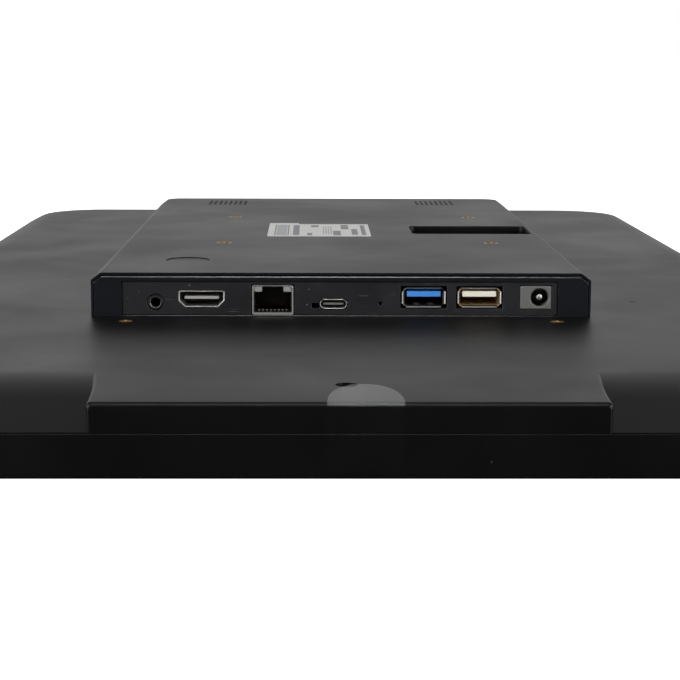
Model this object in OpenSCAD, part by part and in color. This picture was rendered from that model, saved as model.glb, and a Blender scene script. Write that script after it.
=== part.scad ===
// Touchscreen panel computer for a kiosk, lying glass side down.
// Origin: middle of the footprint, on the surface it lies on. +Z up, out of the back.
// The ports face -Y.

/* [Panel] */
// Width of the panel
panel_w = 326; // [322:1:340]
// Length of the panel
panel_l = 558; // [554:1:580]
// Height of the front frame's side
frame_top = 11.9; // [11.9:0.1:12.4]
// Height of the flat back above the film
back_z = 20.4; // [20.4:0.1:22]
// Plan radius of the panel's corners
corner_r = 20; // [17:1:28]
// How far the back slopes down along the two long sides
side_slope = 20; // [14:1:26]
// How far the back slopes down along the two short sides
end_slope = 42; // [34:1:46]
// Wall thickness of the moulded shells
wall = 2; // [1.8:0.1:2.2]

/* [Chin] */
// Width of the raised chin at the near edge
chin_w = 132.2; // [110:0.2:140]
// Extra width where the chin runs into the flat back
chin_flare = 5.6; // [2:0.2:8]

/* [Electronics box] */
// Width of the box on the back
box_w = 163; // [163:0.5:170]
// Length of the box
box_l = 286; // [280:1:300]
// Height of the box above the flat back
box_h = 14.4; // [14.4:0.1:16]
// Distance from the port face to the middle of the panel
port_face = 139.5; // [138:0.5:142]
// Diameter of the power button
button_d = 14.2; // [12:0.1:16]
// Travel of the power button
button_travel = 0.5; // [0.2:0.05:0.6]
// Travel of the reset plunger
reset_travel = 0.25; // [0.1:0.05:0.3]

/* [Mounts] */
// Spacing of the four wall-mount inserts
vesa_pitch = 100; // [100:1:100]
// Bore of the wall-mount inserts
vesa_bore = 4; // [3.3:0.1:4]
// Spacing of the two inserts in front of the box
lower_pitch = 138.6; // [136:0.1:140]
// Bore of the inserts in front of the box
lower_bore = 3; // [2.5:0.1:3]

/* [Hidden] */
$fn = 48;
eps = 0.5;              // how far a cutter runs past a face

// Heights of the display stack, from the film up
film_t = 0.2;
glass_t = 3;
tape_t = 0.3;
sensor_t = 0.5;
cell_t = 1.4;
films_t = 0.6;
guide_t = 2;
reflector_t = 0.3;
tray_t = 1;
glass_top = film_t + glass_t;
flange_z = glass_top + tape_t;
cell_z = glass_top + sensor_t;
films_z = cell_z + cell_t;
guide_z = films_z + films_t;
reflector_z = guide_z + guide_t;
tray_z = reflector_z + reflector_t;
tray_top = tray_z + tray_t;

// Plan sizes, as [width, length]
panel = [panel_w, panel_l];
glass = panel - [10, 10];
lcd_opening = panel - [20, 20];
tray = panel - [21.2, 21.2];
cell = panel - [24, 24];
rim = 5;                // width of the frame's outer wall
flange_t = 2.5;

// Rear shell
lip = 0.4;              // the shell's edge stands back from the frame
lip_h = 0.3;
rise = back_z - frame_top - lip_h;
slope_steps = 12;
corner_steps = 8;
plate_z = back_z - wall;

// Electronics box
box_top = back_z + box_h;
box_near = -port_face;
box_far = box_l - port_face;
cover_under = box_top - wall;
chamfer_w = 3.2;
chamfer_h = 2.4;
box_corner = 10;
cover_edge = 0.7;       // the cover's thickness where it laps over the port bezel
bezel_t = 3;
bezel_round = 1.3;
window = [142.6, 11.2]; // window in the port bezel, wide and high
window_x = -0.4;
sill = 0.3;
plate_recess = 0.5;
plate_t = 1.5;
plate_y = box_near + plate_recess;

// Middle of the wall-mount pattern
vesa_x = 7.5;
vesa_insert = [5.6, 6.5];   // diameter and length
lower_insert = [4.6, 6];
lower_y = box_near - 9.9;

// Power button
button = [-52.4, box_near + 35.4];
button_gap = 0.3;
plunger_r = 1.75;

// Pocket in the box top
pocket = [47, 30, 10.5];
pocket_mid = [53.5, -2.5];
pocket_wall = 1.2;

// Speaker vents
vent_x = [-48.7, 47.2];
vent_y = 119.5;
vent_holes = [8, 9];
vent_pitch = 2.3;
vent_d = 1.5;

// Mainboard
board_z = back_z + 0.6;
board_t = 1.6;
board_top = board_z + board_t;
board_near = box_near + 3;
board_size = [139, 114];
board_fixings = [[-64.5, -116], [64.5, -116], [-64.5, -28], [64.5, -28]];
cover_fixings = [[-74, -125], [74, -125], [-74, 40], [74, 40], [-74, 134], [74, 134]];
tray_fixings = [for (x = [-1, 1], y = [-180, 0, 180]) [x * (glass[0] / 2 - 3.5), y]];
cable_window = [80, 24];
cable_window_mid = [5, -100];

// Port centres on the port face, as [x, z]
mouth = plate_y - 0.2;
audio = [-60.6, back_z + 4.6];
hdmi = [-45.6, back_z + 5.7];
ethernet = [-22.4, back_z + 5.3];
notch = [-8.5, back_z + 3.5];
usb_c = [-2.6, back_z + 4.1];
pinhole = [12.7, back_z + 4.3];
usb3 = [26.9, back_z + 6.3];
usb2 = [45.1, back_z + 6.3];
dc = [63.5, back_z + 6.3];
dc_bore_x = 64.8;
dc_bore_d = 5.9;
audio_bore_d = 3.56;
usb_lip = [14.3, 6.5];
usb_body = [13.2, 5.8];
metal = 0.35;           // thickness of the connectors' sheet metal

chin_screw = [-0.5, -panel_l / 2 + 21.5];
mic = [101.6, box_near + 35];

module rounded(size, r) {
    hw = size[0] / 2 - r;
    hl = size[1] / 2 - r;
    union() {
        square([size[0], size[1] - 2 * r], center = true);
        square([size[0] - 2 * r, size[1]], center = true);
        for (x = [-hw, hw], y = [-hl, hl]) translate([x, y]) circle(r);
    }
}

// A flat sheet with rounded corners, between two heights
module sheet(size, r, z0, z1) {
    translate([0, 0, z0]) linear_extrude(z1 - z0) rounded(size, r);
}

// A block from one corner to the other
module block(from, to) {
    translate(from) cube(to - from);
}

// A rod along Y, from y0 to y1, at a port centre
module rod_y(at, r, y0, y1) {
    translate([at[0], y0, at[1]]) rotate([-90, 0, 0]) cylinder(r = r, h = y1 - y0);
}

// A block along Y, centred on a port centre
module bar_y(at, size, y0, y1) {
    block([at[0] - size[0] / 2, y0, at[1] - size[1] / 2], [at[0] + size[0] / 2, y1, at[1] + size[1] / 2]);
}

// An upright extrusion in XZ, turned to run along Y
module extrude_y(y0, y1) {
    translate([0, y1, 0]) rotate([90, 0, 0]) linear_extrude(y1 - y0) children();
}

// A profile in YZ, run along X
module extrude_x(x0, x1) {
    translate([x0, 0, 0]) rotate([90, 0, 90]) linear_extrude(x1 - x0) children();
}

// Pan-head screw: head above z, shank below
module screw(at, z, head_r, head_h, shank_r, shank_l) {
    translate([at[0], at[1], z]) difference() {
        union() {
            cylinder(r = head_r, h = head_h);
            translate([0, 0, -shank_l]) cylinder(r = shank_r, h = shank_l);
        }
        for (a = [0, 90]) rotate(a) translate([-head_r * 0.6, -head_r * 0.13, head_h * 0.4])
            cube([head_r * 1.2, head_r * 0.26, head_h]);
    }
}

// ---- display ----

module screen_film() {
    color([0.85, 0.87, 0.88, 0.5]) sheet(glass - [1, 1], corner_r - 5.5, 0, film_t);
}

// Pull tab: along the edge of the film, up the near edge and over the chin
tab_w = 19.5;
tab_x = 4;
tab_t = 0.15;
tab_reach = 22;
module film_tab() {
    edge = -panel_l / 2;
    color([0.8, 0.82, 0.82, 0.5]) translate([tab_x, 0, 0]) union() {
        block([-tab_w / 2, edge - tab_t, 0], [tab_w / 2, edge + 5.4, film_t]);
        block([-tab_w / 2, edge - tab_t, 0], [tab_w / 2, edge, back_z + tab_t]);
        translate([0, 0, back_z]) linear_extrude(tab_t) union() {
            translate([-tab_w / 2, edge - tab_t]) square([tab_w, tab_reach - tab_w / 2 + tab_t]);
            translate([0, edge + tab_reach - tab_w / 2]) circle(tab_w / 2);
        }
    }
}

module cover_glass() {
    color([0.05, 0.05, 0.06]) sheet(glass, corner_r - 5, film_t, glass_top);
}

module glass_tape() {
    color([0.1, 0.1, 0.1]) difference() {
        sheet(glass - [1, 1], corner_r - 5.5, glass_top, flange_z);
        sheet(lcd_opening + [0.4, 0.4], 3, glass_top - eps, flange_z + eps);
    }
}

module touch_sensor() {
    color([0.3, 0.35, 0.35]) sheet(cell - [0, 1], 1, glass_top, cell_z);
}

module lcd_cell() {
    color([0.12, 0.13, 0.16]) sheet(cell, 1, cell_z, films_z);
}

module diffuser_films() {
    color([0.95, 0.95, 0.93]) sheet(cell - [2, 2], 1, films_z, guide_z);
}

guide_gap = 8;          // left free beside the light guide for the LED strip
module light_guide() {
    color([0.85, 0.92, 0.92]) translate([0, guide_gap / 2, 0])
        sheet(cell - [2, guide_gap + 2], 1, guide_z, reflector_z);
}

module reflector_sheet() {
    color([0.97, 0.97, 0.97]) sheet(cell - [2, 2], 1, reflector_z, tray_z);
}

led_pitch = 8;
module led_strip() {
    y = -cell[1] / 2 + 1.2;
    length = cell[0] - 12;
    color([0.95, 0.9, 0.6]) union() {
        block([-length / 2, y, guide_z], [length / 2, y + 1, reflector_z - 0.2]);
        for (x = [-length / 2 + led_pitch : led_pitch : length / 2 - led_pitch])
            block([x - 1.5, y + 0.8, guide_z + 0.3], [x + 1.5, y + 4, guide_z + 1.5]);
    }
}

ear = [6.6, 12, 0.8];
module backlight_tray() {
    color([0.72, 0.73, 0.74]) difference() {
        union() {
            sheet(tray, 1.5, flange_z, tray_top);
            for (p = tray_fixings)
                block([p[0] - ear[0] / 2, p[1] - ear[1] / 2, tray_top - ear[2]],
                      [p[0] + ear[0] / 2, p[1] + ear[1] / 2, tray_top]);
        }
        sheet(tray - [1.6, 1.6], 1, flange_z - eps, tray_z);
        for (p = tray_fixings) translate([p[0], p[1], 0]) cylinder(r = 1.5, h = tray_top + eps);
    }
}

module tray_screws() {
    color([0.6, 0.6, 0.6]) for (p = tray_fixings) screw(p, tray_top, 2.4, 1.3, 1.2, 4.5);
}

// ---- frame and shell ----

post_r = 3.2;
lug = [13, 22];
module front_frame() {
    color([0.03, 0.03, 0.03]) difference() {
        union() {
            difference() {
                sheet(panel, corner_r, film_t, frame_top);
                sheet(glass + [0.3, 0.3], corner_r - 5 + 0.15, film_t - eps, flange_z);
                sheet(lcd_opening, 3, film_t, frame_top + eps);
                sheet(panel - 2 * [rim, rim], corner_r - rim, flange_z + flange_t, frame_top + eps);
            }
            for (p = tray_fixings) intersection() {
                translate([p[0], p[1], flange_z]) cylinder(r = post_r, h = tray_top - ear[2] - flange_z);
                difference() {
                    sheet(panel, corner_r, 0, frame_top);
                    sheet(lcd_opening, 3, -eps, frame_top + eps);
                }
            }
            block([chin_screw[0] - lug[0] / 2, -glass[1] / 2 - eps, tray_top + 0.4],
                  [chin_screw[0] + lug[0] / 2, -glass[1] / 2 + lug[1], frame_top]);
        }
        for (p = tray_fixings) translate([p[0], p[1], flange_z + eps]) cylinder(r = 1.2, h = frame_top);
        translate([chin_screw[0], chin_screw[1], tray_top]) cylinder(r = 1.25, h = frame_top);
    }
}

// One level of the shell: a rounded rectangle as a ring of points
function ring(hw, hl, r, z) = [
    for (q = [0 : 3], i = [0 : corner_steps])
        let (a = 90 * (q + i / corner_steps), sx = q == 0 || q == 3 ? 1 : -1, sy = q < 2 ? 1 : -1)
        [sx * (hw - r) + r * cos(a), sy * (hl - r) + r * sin(a), z]
];
// Height along the slope, from 0 at the edge to 1: straight at first, then rounded into the flat back
straight = 0.45;
steepness = 2 / (1 + straight);
function climb(t) = t < straight ? steepness * t : 1 - steepness * pow(1 - t, 2) / (2 * (1 - straight));

// The sloping back: level with the frame at its edge, flat in the middle
module back_form(inset, drop, foot) {
    levels = concat(
        [ring(panel_w / 2 - lip - inset, panel_l / 2 - lip - inset, corner_r - lip - inset, foot)],
        [for (i = [0 : slope_steps]) let (t = i / slope_steps)
            ring(panel_w / 2 - lip - inset - side_slope * t, panel_l / 2 - lip - inset - end_slope * t,
                 corner_r - lip - inset + 8 * t, frame_top + lip_h + rise * climb(t) - drop)]
    );
    n = len(levels[0]);
    m = len(levels);
    sides = [for (k = [0 : m - 2], i = [0 : n - 1]) let (j = (i + 1) % n)
        each [[k * n + i, (k + 1) * n + i, (k + 1) * n + j], [k * n + i, (k + 1) * n + j, k * n + j]]];
    underside = [for (i = [0 : n - 1]) i];
    top = [for (i = [n - 1 : -1 : 0]) (m - 1) * n + i];
    polyhedron(points = [for (l = levels) each l], faces = concat(sides, [underside, top]));
}

// Plan of the chin: it widens in a curve where it meets the flat back
chin_len = 52;
module chin_plan(inset) {
    edge = -panel_l / 2 + lip / 2 + inset;
    half = chin_w / 2 - inset;
    steps = 10;
    right = [for (i = [0 : steps]) let (t = i / steps) [half + chin_flare * t * t, edge + chin_len * t]];
    left = [for (i = [steps : -1 : 0]) let (t = i / steps) [-half - chin_flare * t * t, edge + chin_len * t]];
    polygon(concat(right, left));
}

// Side view of the chin: flat top, bowed down a little and rounded at the near edge
chin_round = 1.2;
chin_bow = 0.5;
module chin_side(inset) {
    edge = -panel_l / 2 + lip / 2 + inset;
    top = back_z - inset;
    bow_l = 22;
    steps = 8;
    near = [for (i = [0 : steps]) let (a = 90 * i / steps)
        [edge + chin_round * (1 - cos(a)), top - chin_bow - chin_round * (1 - sin(a))]];
    bow = [for (i = [1 : steps]) let (t = i / steps)
        [edge + chin_round + bow_l * t, top - chin_bow * (1 - t) * (1 - t)]];
    polygon(concat([[edge, frame_top - inset * 4]], near, bow,
                   [[edge + chin_len, top], [edge + chin_len, frame_top - inset * 4]]));
}

module chin(inset) {
    intersection() {
        extrude_x(-chin_w, chin_w) chin_side(inset);
        translate([0, 0, frame_top - inset * 4]) linear_extrude(back_z) chin_plan(inset);
    }
}

well_r = 3;
well_floor = frame_top + 0.6;
tongue = panel - 2 * [rim + 0.3, rim + 0.3];    // locates the shell inside the frame's wall
board_boss_h = 3.5;
module rear_shell() {
    color([0.11, 0.11, 0.11]) difference() {
        union() {
            difference() {
                union() {
                    back_form(0, 0, frame_top);
                    chin(0);
                }
                back_form(wall + 0.4, wall, frame_top - 3);
                chin(wall);
            }
            difference() {
                sheet(tongue, corner_r - rim - 0.3, frame_top - 1.4, frame_top + 0.7);
                sheet(tongue - [3, 3], corner_r - rim - 1.8, frame_top - 3, frame_top + 1.2);
                block([chin_screw[0] - lug[0], -panel_l / 2, 0],
                      [chin_screw[0] + lug[0], -panel_l / 3, frame_top]);
            }
            for (x = [-1, 1]) translate([x * lower_pitch / 2, lower_y, back_z - lower_insert[1] - 1.5])
                cylinder(r = lower_insert[0] / 2 + 2, h = lower_insert[1] + 0.5);
            for (p = board_fixings) translate([p[0], p[1], plate_z - board_boss_h])
                cylinder(r = 3.5, h = board_z - plate_z + board_boss_h);
            translate([chin_screw[0], chin_screw[1], frame_top])
                cylinder(r = well_r + 1.4, h = plate_z + 1 - frame_top);
        }
        for (x = [-1, 1]) translate([x * lower_pitch / 2, lower_y, back_z - lower_insert[1]])
            cylinder(r = lower_insert[0] / 2, h = lower_insert[1] + eps);
        for (p = board_fixings) translate([p[0], p[1], plate_z - 3]) cylinder(r = 1.3, h = 9);
        for (p = cover_fixings) translate([p[0], p[1], plate_z - eps]) cylinder(r = 1.7, h = wall + 2 * eps);
        translate([cable_window_mid[0], cable_window_mid[1], plate_z - eps])
            linear_extrude(wall + 2 * eps) square(cable_window, center = true);
        translate([chin_screw[0], chin_screw[1], well_floor + 1]) cylinder(r = well_r, h = back_z);
        translate([chin_screw[0], chin_screw[1], frame_top - eps]) cylinder(r = 1.6, h = 3);
        block([mic[0] - 1.15, mic[1] - 0.5, plate_z - eps], [mic[0] + 1.15, mic[1] + 0.5, back_z + eps]);
    }
}

module shell_screw() {
    color([0.15, 0.15, 0.16]) screw(chin_screw, well_floor + 1, 2.7, 1.6, 1.2, 3.9);
}

// ---- electronics box ----

// Side view of the box: square at the ports, chamfered at the far end
module box_side() {
    polygon([[box_near, back_z], [box_far, back_z], [box_far, box_top - chamfer_h],
             [box_far - chamfer_w, box_top], [box_near, box_top]]);
}

// Front view of the box with its chamfers, drawn in by o all round and down to foot
module box_front(o, foot = back_z) {
    half = box_w / 2 - o;
    steep = o * tan(atan2(chamfer_w, chamfer_h) / 2);
    flat = o * tan(atan2(chamfer_h, chamfer_w) / 2) - o;
    polygon([[-half, foot], [half, foot], [half, box_top - chamfer_h - steep],
             [half - chamfer_w - flat, box_top - o], [-half + chamfer_w + flat, box_top - o],
             [-half, box_top - chamfer_h - steep]]);
}

// Plan of the box: square at the ports, round at the far corners
module box_plan(inset, top) {
    w = box_w - 2 * inset;
    r = box_corner - inset;
    near = box_near + inset;
    far = box_far - inset;
    linear_extrude(top) union() {
        translate([-w / 2, near]) square([w, far - near - r]);
        translate([-w / 2 + r, near]) square([w - 2 * r, far - near]);
        for (x = [-1, 1]) translate([x * (w / 2 - r), far - r]) circle(r);
    }
}

module box_cover() {
    color([0.12, 0.12, 0.12]) difference() {
        union() {
            difference() {
                intersection() {
                    extrude_x(-box_w / 2, box_w / 2) box_side();
                    extrude_y(box_near - 1, box_far + 1) box_front(0);
                    box_plan(0, box_top + 1);
                }
                intersection() {
                    translate([0, 0, back_z - eps]) box_plan(wall, box_h - wall + eps);
                    extrude_y(box_near, box_far) box_front(wall, back_z - eps);
                }
                extrude_y(box_near - eps, box_near + bezel_t) box_front(cover_edge, back_z - eps);
            }
            for (p = cover_fixings) translate([p[0], p[1], back_z]) cylinder(r = 3.5, h = box_h - 1);
            for (x = [-1, 1], y = [-1, 1])
                translate([vesa_x + x * vesa_pitch / 2, y * vesa_pitch / 2, box_top - vesa_insert[1] - 1.5])
                    cylinder(r = vesa_insert[0] / 2 + 2, h = vesa_insert[1]);
        }
        for (p = cover_fixings) translate([p[0], p[1], back_z - eps]) cylinder(r = 1.25, h = 10.5);
        for (x = [-1, 1], y = [-1, 1])
            translate([vesa_x + x * vesa_pitch / 2, y * vesa_pitch / 2, box_top - vesa_insert[1]])
                cylinder(r = vesa_insert[0] / 2, h = vesa_insert[1] + eps);
        translate([button[0], button[1], cover_under - eps])
            cylinder(r = button_d / 2 + button_gap, h = wall + 2 * eps);
        translate([pocket_mid[0], pocket_mid[1], cover_under - eps])
            linear_extrude(wall + 2 * eps) rounded([pocket[0], pocket[1]], 2.5);
        for (x = vent_x, i = [0 : vent_holes[0] - 1], j = [0 : vent_holes[1] - 1])
            translate([x + (i - (vent_holes[0] - 1) / 2) * vent_pitch,
                       vent_y + (j - (vent_holes[1] - 1) / 2) * vent_pitch, cover_under - eps])
                cylinder(d = vent_d, h = wall + 2 * eps, $fn = 16);
    }
}

module cover_screws() {
    color([0.6, 0.6, 0.6]) for (p = cover_fixings)
        translate([p[0], p[1], plate_z]) mirror([0, 0, 1]) screw([0, 0], 0, 2.8, 1.6, 1.2, 11);
}

// Frame round the port plate: it closes the end of the box and has a rounded top edge
module port_bezel() {
    gap = 0.05;
    y1 = box_near + bezel_t - gap;
    top = box_top - cover_edge - gap;
    steps = 8;
    edge = [for (i = [0 : steps]) let (a = 90 * i / steps)
        [box_near + bezel_round * (1 - cos(a)), top - bezel_round * (1 - sin(a))]];
    color([0.1, 0.1, 0.11]) difference() {
        intersection() {
            extrude_x(-box_w / 2, box_w / 2)
                polygon(concat([[y1, top], [y1, back_z], [box_near, back_z]], edge));
            extrude_y(box_near, y1) box_front(cover_edge + gap);
        }
        block([window_x - window[0] / 2, box_near - eps, back_z + sill],
              [window_x + window[0] / 2, y1 + eps, back_z + sill + window[1]]);
    }
}

module port_plate() {
    z0 = back_z + sill + 0.1;
    z1 = back_z + sill + window[1] - 0.1;
    half = window[0] / 2 - 0.15;
    back = plate_y + plate_t + eps;
    color([0.14, 0.14, 0.15]) difference() {
        block([window_x - half, plate_y, z0], [window_x + half, plate_y + plate_t, z1]);
        rod_y(audio, 2.75, plate_y - eps, back);
        bar_y(hdmi, [15.8, 6.3], plate_y - eps, back);
        bar_y(ethernet - [0, 1], [14.2, 12.2], plate_y - eps, back);
        bar_y(notch, [2.4, 1.7], plate_y - eps, back);
        for (x = [-1, 1]) rod_y(usb_c + [x * 2.9, 0], 1.95, plate_y - eps, back);
        bar_y(usb_c, [5.8, 3.9], plate_y - eps, back);
        rod_y(pinhole, 0.6, plate_y - eps, back);
        for (p = [usb3, usb2]) bar_y(p, usb_lip + [0.9, 0.9], plate_y - eps, back);
        bar_y(dc, [10.5, 8], plate_y - eps, back);
    }
}

module pocket_liner() {
    outer = [pocket[0], pocket[1]] + 2 * [pocket_wall, pocket_wall];
    floor_z = box_top - pocket[2];
    color([0.05, 0.05, 0.05]) translate([pocket_mid[0], pocket_mid[1], 0]) difference() {
        sheet(outer, 2.5 + pocket_wall, floor_z - pocket_wall, cover_under);
        sheet([pocket[0], pocket[1]], 2.5, floor_z, cover_under + eps);
    }
}

label_t = 0.12;
module rating_label() {
    color([0.8, 0.8, 0.78]) union() {
        block([-27, -28, box_top], [13.3, 18.5, box_top + label_t]);
        block([-27, 18.5, box_top], [-15, 22.5, box_top + label_t]);
    }
}

// ---- buttons ----

module power_button() {
    r = button_d / 2;
    flange_top = cover_under - 0.1;
    foot = board_top + 4.6;
    color([0.13, 0.13, 0.13]) translate([button[0], button[1], 0]) rotate_extrude() polygon([
        [0, foot], [2, foot], [2, flange_top - 1], [r + 1.2, flange_top - 1], [r + 1.2, flange_top],
        [r, flange_top], [r, box_top - 0.25], [r - 0.25, box_top], [0, box_top]
    ]);
}

module power_switch() {
    color([0.2, 0.2, 0.2]) difference() {
        block([button[0] - 3, button[1] - 3, board_top],
              [button[0] + 3, button[1] + 3, board_top + 3.6]);
        translate([button[0], button[1], board_top + 2]) cylinder(r = plunger_r + 0.06, h = 3);
    }
}

module switch_plunger() {
    color([0.5, 0.15, 0.1]) translate([button[0], button[1], board_top + 2.8])
        cylinder(r = plunger_r, h = 1.8);
}

reset_r = 0.7;
reset_y = board_near + 1.6;
module reset_switch() {
    color([0.7, 0.7, 0.7]) difference() {
        block([pinhole[0] - 2.2, reset_y, board_top],
              [pinhole[0] + 2.2, reset_y + 3.2, board_top + 3.6]);
        rod_y(pinhole, reset_r + 0.06, reset_y - eps, reset_y + 1.8);
    }
}

module reset_plunger() {
    color([0.15, 0.15, 0.15]) rod_y(pinhole, reset_r, reset_y - 1.2, reset_y + 1.2);
}

// ---- inserts ----

module insert(size, bore) {
    color([0.75, 0.58, 0.28]) rotate_extrude() polygon([
        [bore / 2, -size[1]], [size[0] / 2 - 0.3, -size[1]], [size[0] / 2 - 0.3, -size[1] / 2 - 0.4],
        [size[0] / 2 - 0.6, -size[1] / 2 - 0.4], [size[0] / 2 - 0.6, -size[1] / 2 + 0.4],
        [size[0] / 2, -size[1] / 2 + 0.4], [size[0] / 2, 0], [bore / 2, 0]
    ]);
}

module vesa_inserts() {
    for (x = [-1, 1], y = [-1, 1])
        translate([vesa_x + x * vesa_pitch / 2, y * vesa_pitch / 2, box_top])
            insert(vesa_insert, vesa_bore);
}

module lower_inserts() {
    for (x = [-1, 1]) translate([x * lower_pitch / 2, lower_y, back_z]) insert(lower_insert, lower_bore);
}

// ---- boards and speakers ----

module mainboard() {
    color([0.05, 0.25, 0.12]) difference() {
        block([-board_size[0] / 2, board_near, board_z],
              [board_size[0] / 2, board_near + board_size[1], board_top]);
        block([ethernet[0] - 7, board_near - eps, 0],
              [ethernet[0] + 7, board_near + 14.5, board_top + eps]);
        for (p = board_fixings) translate([p[0], p[1], 0]) cylinder(r = 1.6, h = board_top + eps);
    }
}

heat = [40, 40, 7];
heat_mid = [20, -72];
// Chips, each as [x, y, side, height]
chips = [[20, -72, 15, 1.4], [-8, -72, 12, 1.1], [-8, -52, 12, 1.1], [-30, -75, 9, 1], [50, -84, 10, 1.2],
         [-58, -70, 7, 2.4], [45, -34, 11, 1.1], [-22, -100, 8, 1]];
module board_chips() {
    color([0.08, 0.08, 0.08]) for (c = chips)
        translate([c[0] - c[2] / 2, c[1] - c[2] / 2, board_top]) cube([c[2], c[2], c[3]]);
}

module heat_sink() {
    z0 = board_top + chips[0][3];
    fins = 9;
    fin_t = 1;
    pitch = (heat[0] - fin_t) / (fins - 1);
    color([0.6, 0.62, 0.65]) translate([heat_mid[0] - heat[0] / 2, heat_mid[1] - heat[1] / 2, z0]) union() {
        cube([heat[0], heat[1], 1.6]);
        for (i = [0 : fins - 1]) translate([i * pitch, 0, 1]) cube([fin_t, heat[1], heat[2] - 1]);
    }
}

module board_screws() {
    color([0.7, 0.7, 0.7]) for (p = board_fixings) screw(p, board_top, 2.8, 1.6, 1.25, 4.8);
}

low_board_z = tray_top + 0.6;
module timing_board() {
    color([0.05, 0.22, 0.3]) union() {
        block([-110, -232, low_board_z], [110, -208, low_board_z + 1]);
        block([-12, -214, low_board_z + 0.8], [14, -209, low_board_z + 2.4]);
        block([-40, -226, low_board_z + 0.8], [-30, -216, low_board_z + 1.8]);
    }
}

module touch_board() {
    color([0.05, 0.22, 0.3]) union() {
        block([20, -200, low_board_z], [70, -178, low_board_z + 1]);
        block([30, -184, low_board_z + 0.8], [42, -179, low_board_z + 2.4]);
        block([54, -194, low_board_z + 0.8], [62, -186, low_board_z + 1.8]);
    }
}

// Flat ribbon of width w at x: along the tray, then up through the cable window to the mainboard
ribbon_t = 0.25;
module ribbon(x, w, y_start) {
    z = low_board_z + 2.7;
    path = [[y_start, z], [-116, z], [-110, z + 3], [-107, z + 6.2],
            [-104, board_z - 0.35], [-94, board_z - 0.35]];
    under = [for (i = [len(path) - 1 : -1 : 0]) path[i] + [ribbon_t, -ribbon_t]];
    extrude_x(x - w / 2, x + w / 2) polygon(concat(path, under));
}

module display_ribbon() {
    color([0.85, 0.85, 0.8]) ribbon(1, 24, -213);
}

module touch_ribbon() {
    color([0.85, 0.75, 0.4]) ribbon(36, 10, -183);
}

speaker = [30, 42, 7.6];
module speakers() {
    z1 = cover_under - 0.4;
    color([0.1, 0.1, 0.1]) for (x = vent_x) translate([x, vent_y, z1 - speaker[2]]) difference() {
        linear_extrude(speaker[2]) rounded([speaker[0], speaker[1]], 3);
        translate([0, 0, speaker[2] - 2.6]) rotate_extrude()
            polygon([[0, 0.8], [4, 0.4], [5, 0], [12, 2], [12, 4], [0, 4]]);
    }
}

module wifi_antennas() {
    y = box_far - wall;
    color([0.8, 0.55, 0.15]) for (x = [-32, 32])
        block([x - 20, y - 0.4, back_z + 2], [x + 20, y, back_z + 10]);
}

module microphone() {
    color([0.7, 0.65, 0.4]) union() {
        block([mic[0] - 4, mic[1] - 4, plate_z - 0.8], [mic[0] + 4, mic[1] + 4, plate_z]);
        block([mic[0] - 1.9, mic[1] - 1.5, plate_z - 1.9], [mic[0] + 1.9, mic[1] + 1.5, plate_z - 0.7]);
    }
}

// ---- connectors ----

module audio_jack() {
    color([0.04, 0.04, 0.04]) difference() {
        union() {
            bar_y(audio + [0, -0.15], [6.6, 4.3], plate_y + plate_t + 0.1, plate_y + 13.5);
            rod_y(audio, 2.5, mouth + 0.1, plate_y + plate_t + 0.6);
        }
        rod_y(audio, audio_bore_d / 2, mouth - eps, plate_y + 11.5);
    }
}

// Outline of the HDMI shell, grown by o all round
module hdmi_outline(o) {
    translate(hdmi) polygon([
        [-7.1 - o, 2.35 + o], [7.1 + o, 2.35 + o], [7.1 + o, -0.5 - 0.6 * o],
        [5.2 + 0.6 * o, -2.35 - o], [-5.2 - 0.6 * o, -2.35 - o], [-7.1 - o, -0.5 - 0.6 * o]
    ]);
}

module hdmi_shell() {
    color([0.78, 0.78, 0.78]) difference() {
        extrude_y(mouth, mouth + 12) hdmi_outline(metal);
        extrude_y(mouth - eps, mouth + 13) hdmi_outline(0);
    }
}

module hdmi_insert() {
    color([0.05, 0.05, 0.05]) union() {
        extrude_y(mouth + 8.5, mouth + 11.8) hdmi_outline(-0.05);
        bar_y(hdmi + [0, 0.35], [11.2, 0.95], mouth + 1, mouth + 9);
    }
}

module ethernet_shell() {
    size = [13.4, 9.8];
    color([0.75, 0.75, 0.75]) difference() {
        bar_y(ethernet, size, mouth, mouth + 16);
        bar_y(ethernet, size - 2 * [metal, metal], mouth - eps, mouth + 16 - metal);
    }
}

pipe = [2.7, 2.1];
pipe_off = [4.85, 3.4];
module ethernet_body() {
    size = [12.6, 9];
    y0 = mouth + 0.3;
    color([0.06, 0.06, 0.06]) difference() {
        bar_y(ethernet, size, y0, mouth + 15.5);
        bar_y(ethernet - [0, 0.55], [11.7, 6.5], y0 - eps, mouth + 13);
        bar_y(ethernet + [0, 3.1], [6.2, 2.2], y0 - eps, mouth + 13);
        for (x = [-1, 1])
            bar_y(ethernet + [x * pipe_off[0], pipe_off[1]], pipe + [0.1, 0.1], y0 - eps, mouth + 10);
    }
}

// Eight springs along the floor of the socket
contact_pitch = 1.27;
module ethernet_contacts() {
    floor_z = ethernet[1] - 3.8;
    color([0.85, 0.7, 0.35]) for (i = [0 : 7])
        translate([ethernet[0] + (i - 3.5) * contact_pitch, 0, floor_z]) union() {
            block([-0.25, mouth + 0.7, 0], [0.25, mouth + 11, 0.35]);
            block([-0.25, mouth + 0.7, 0], [0.25, mouth + 1.1, 0.8]);
        }
}

module ethernet_light_pipes() {
    color([0.75, 0.76, 0.72]) for (x = [-1, 1])
        bar_y(ethernet + [x * pipe_off[0], pipe_off[1]], pipe, mouth + 0.25, mouth + 9.9);
}

// Stadium outline of the USB-C shell, grown by o
module usb_c_outline(o) {
    translate(usb_c) union() {
        square([5.7, 2.6 + 2 * o], center = true);
        for (x = [-1, 1]) translate([x * 2.85, 0]) circle(1.3 + o);
    }
}

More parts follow.
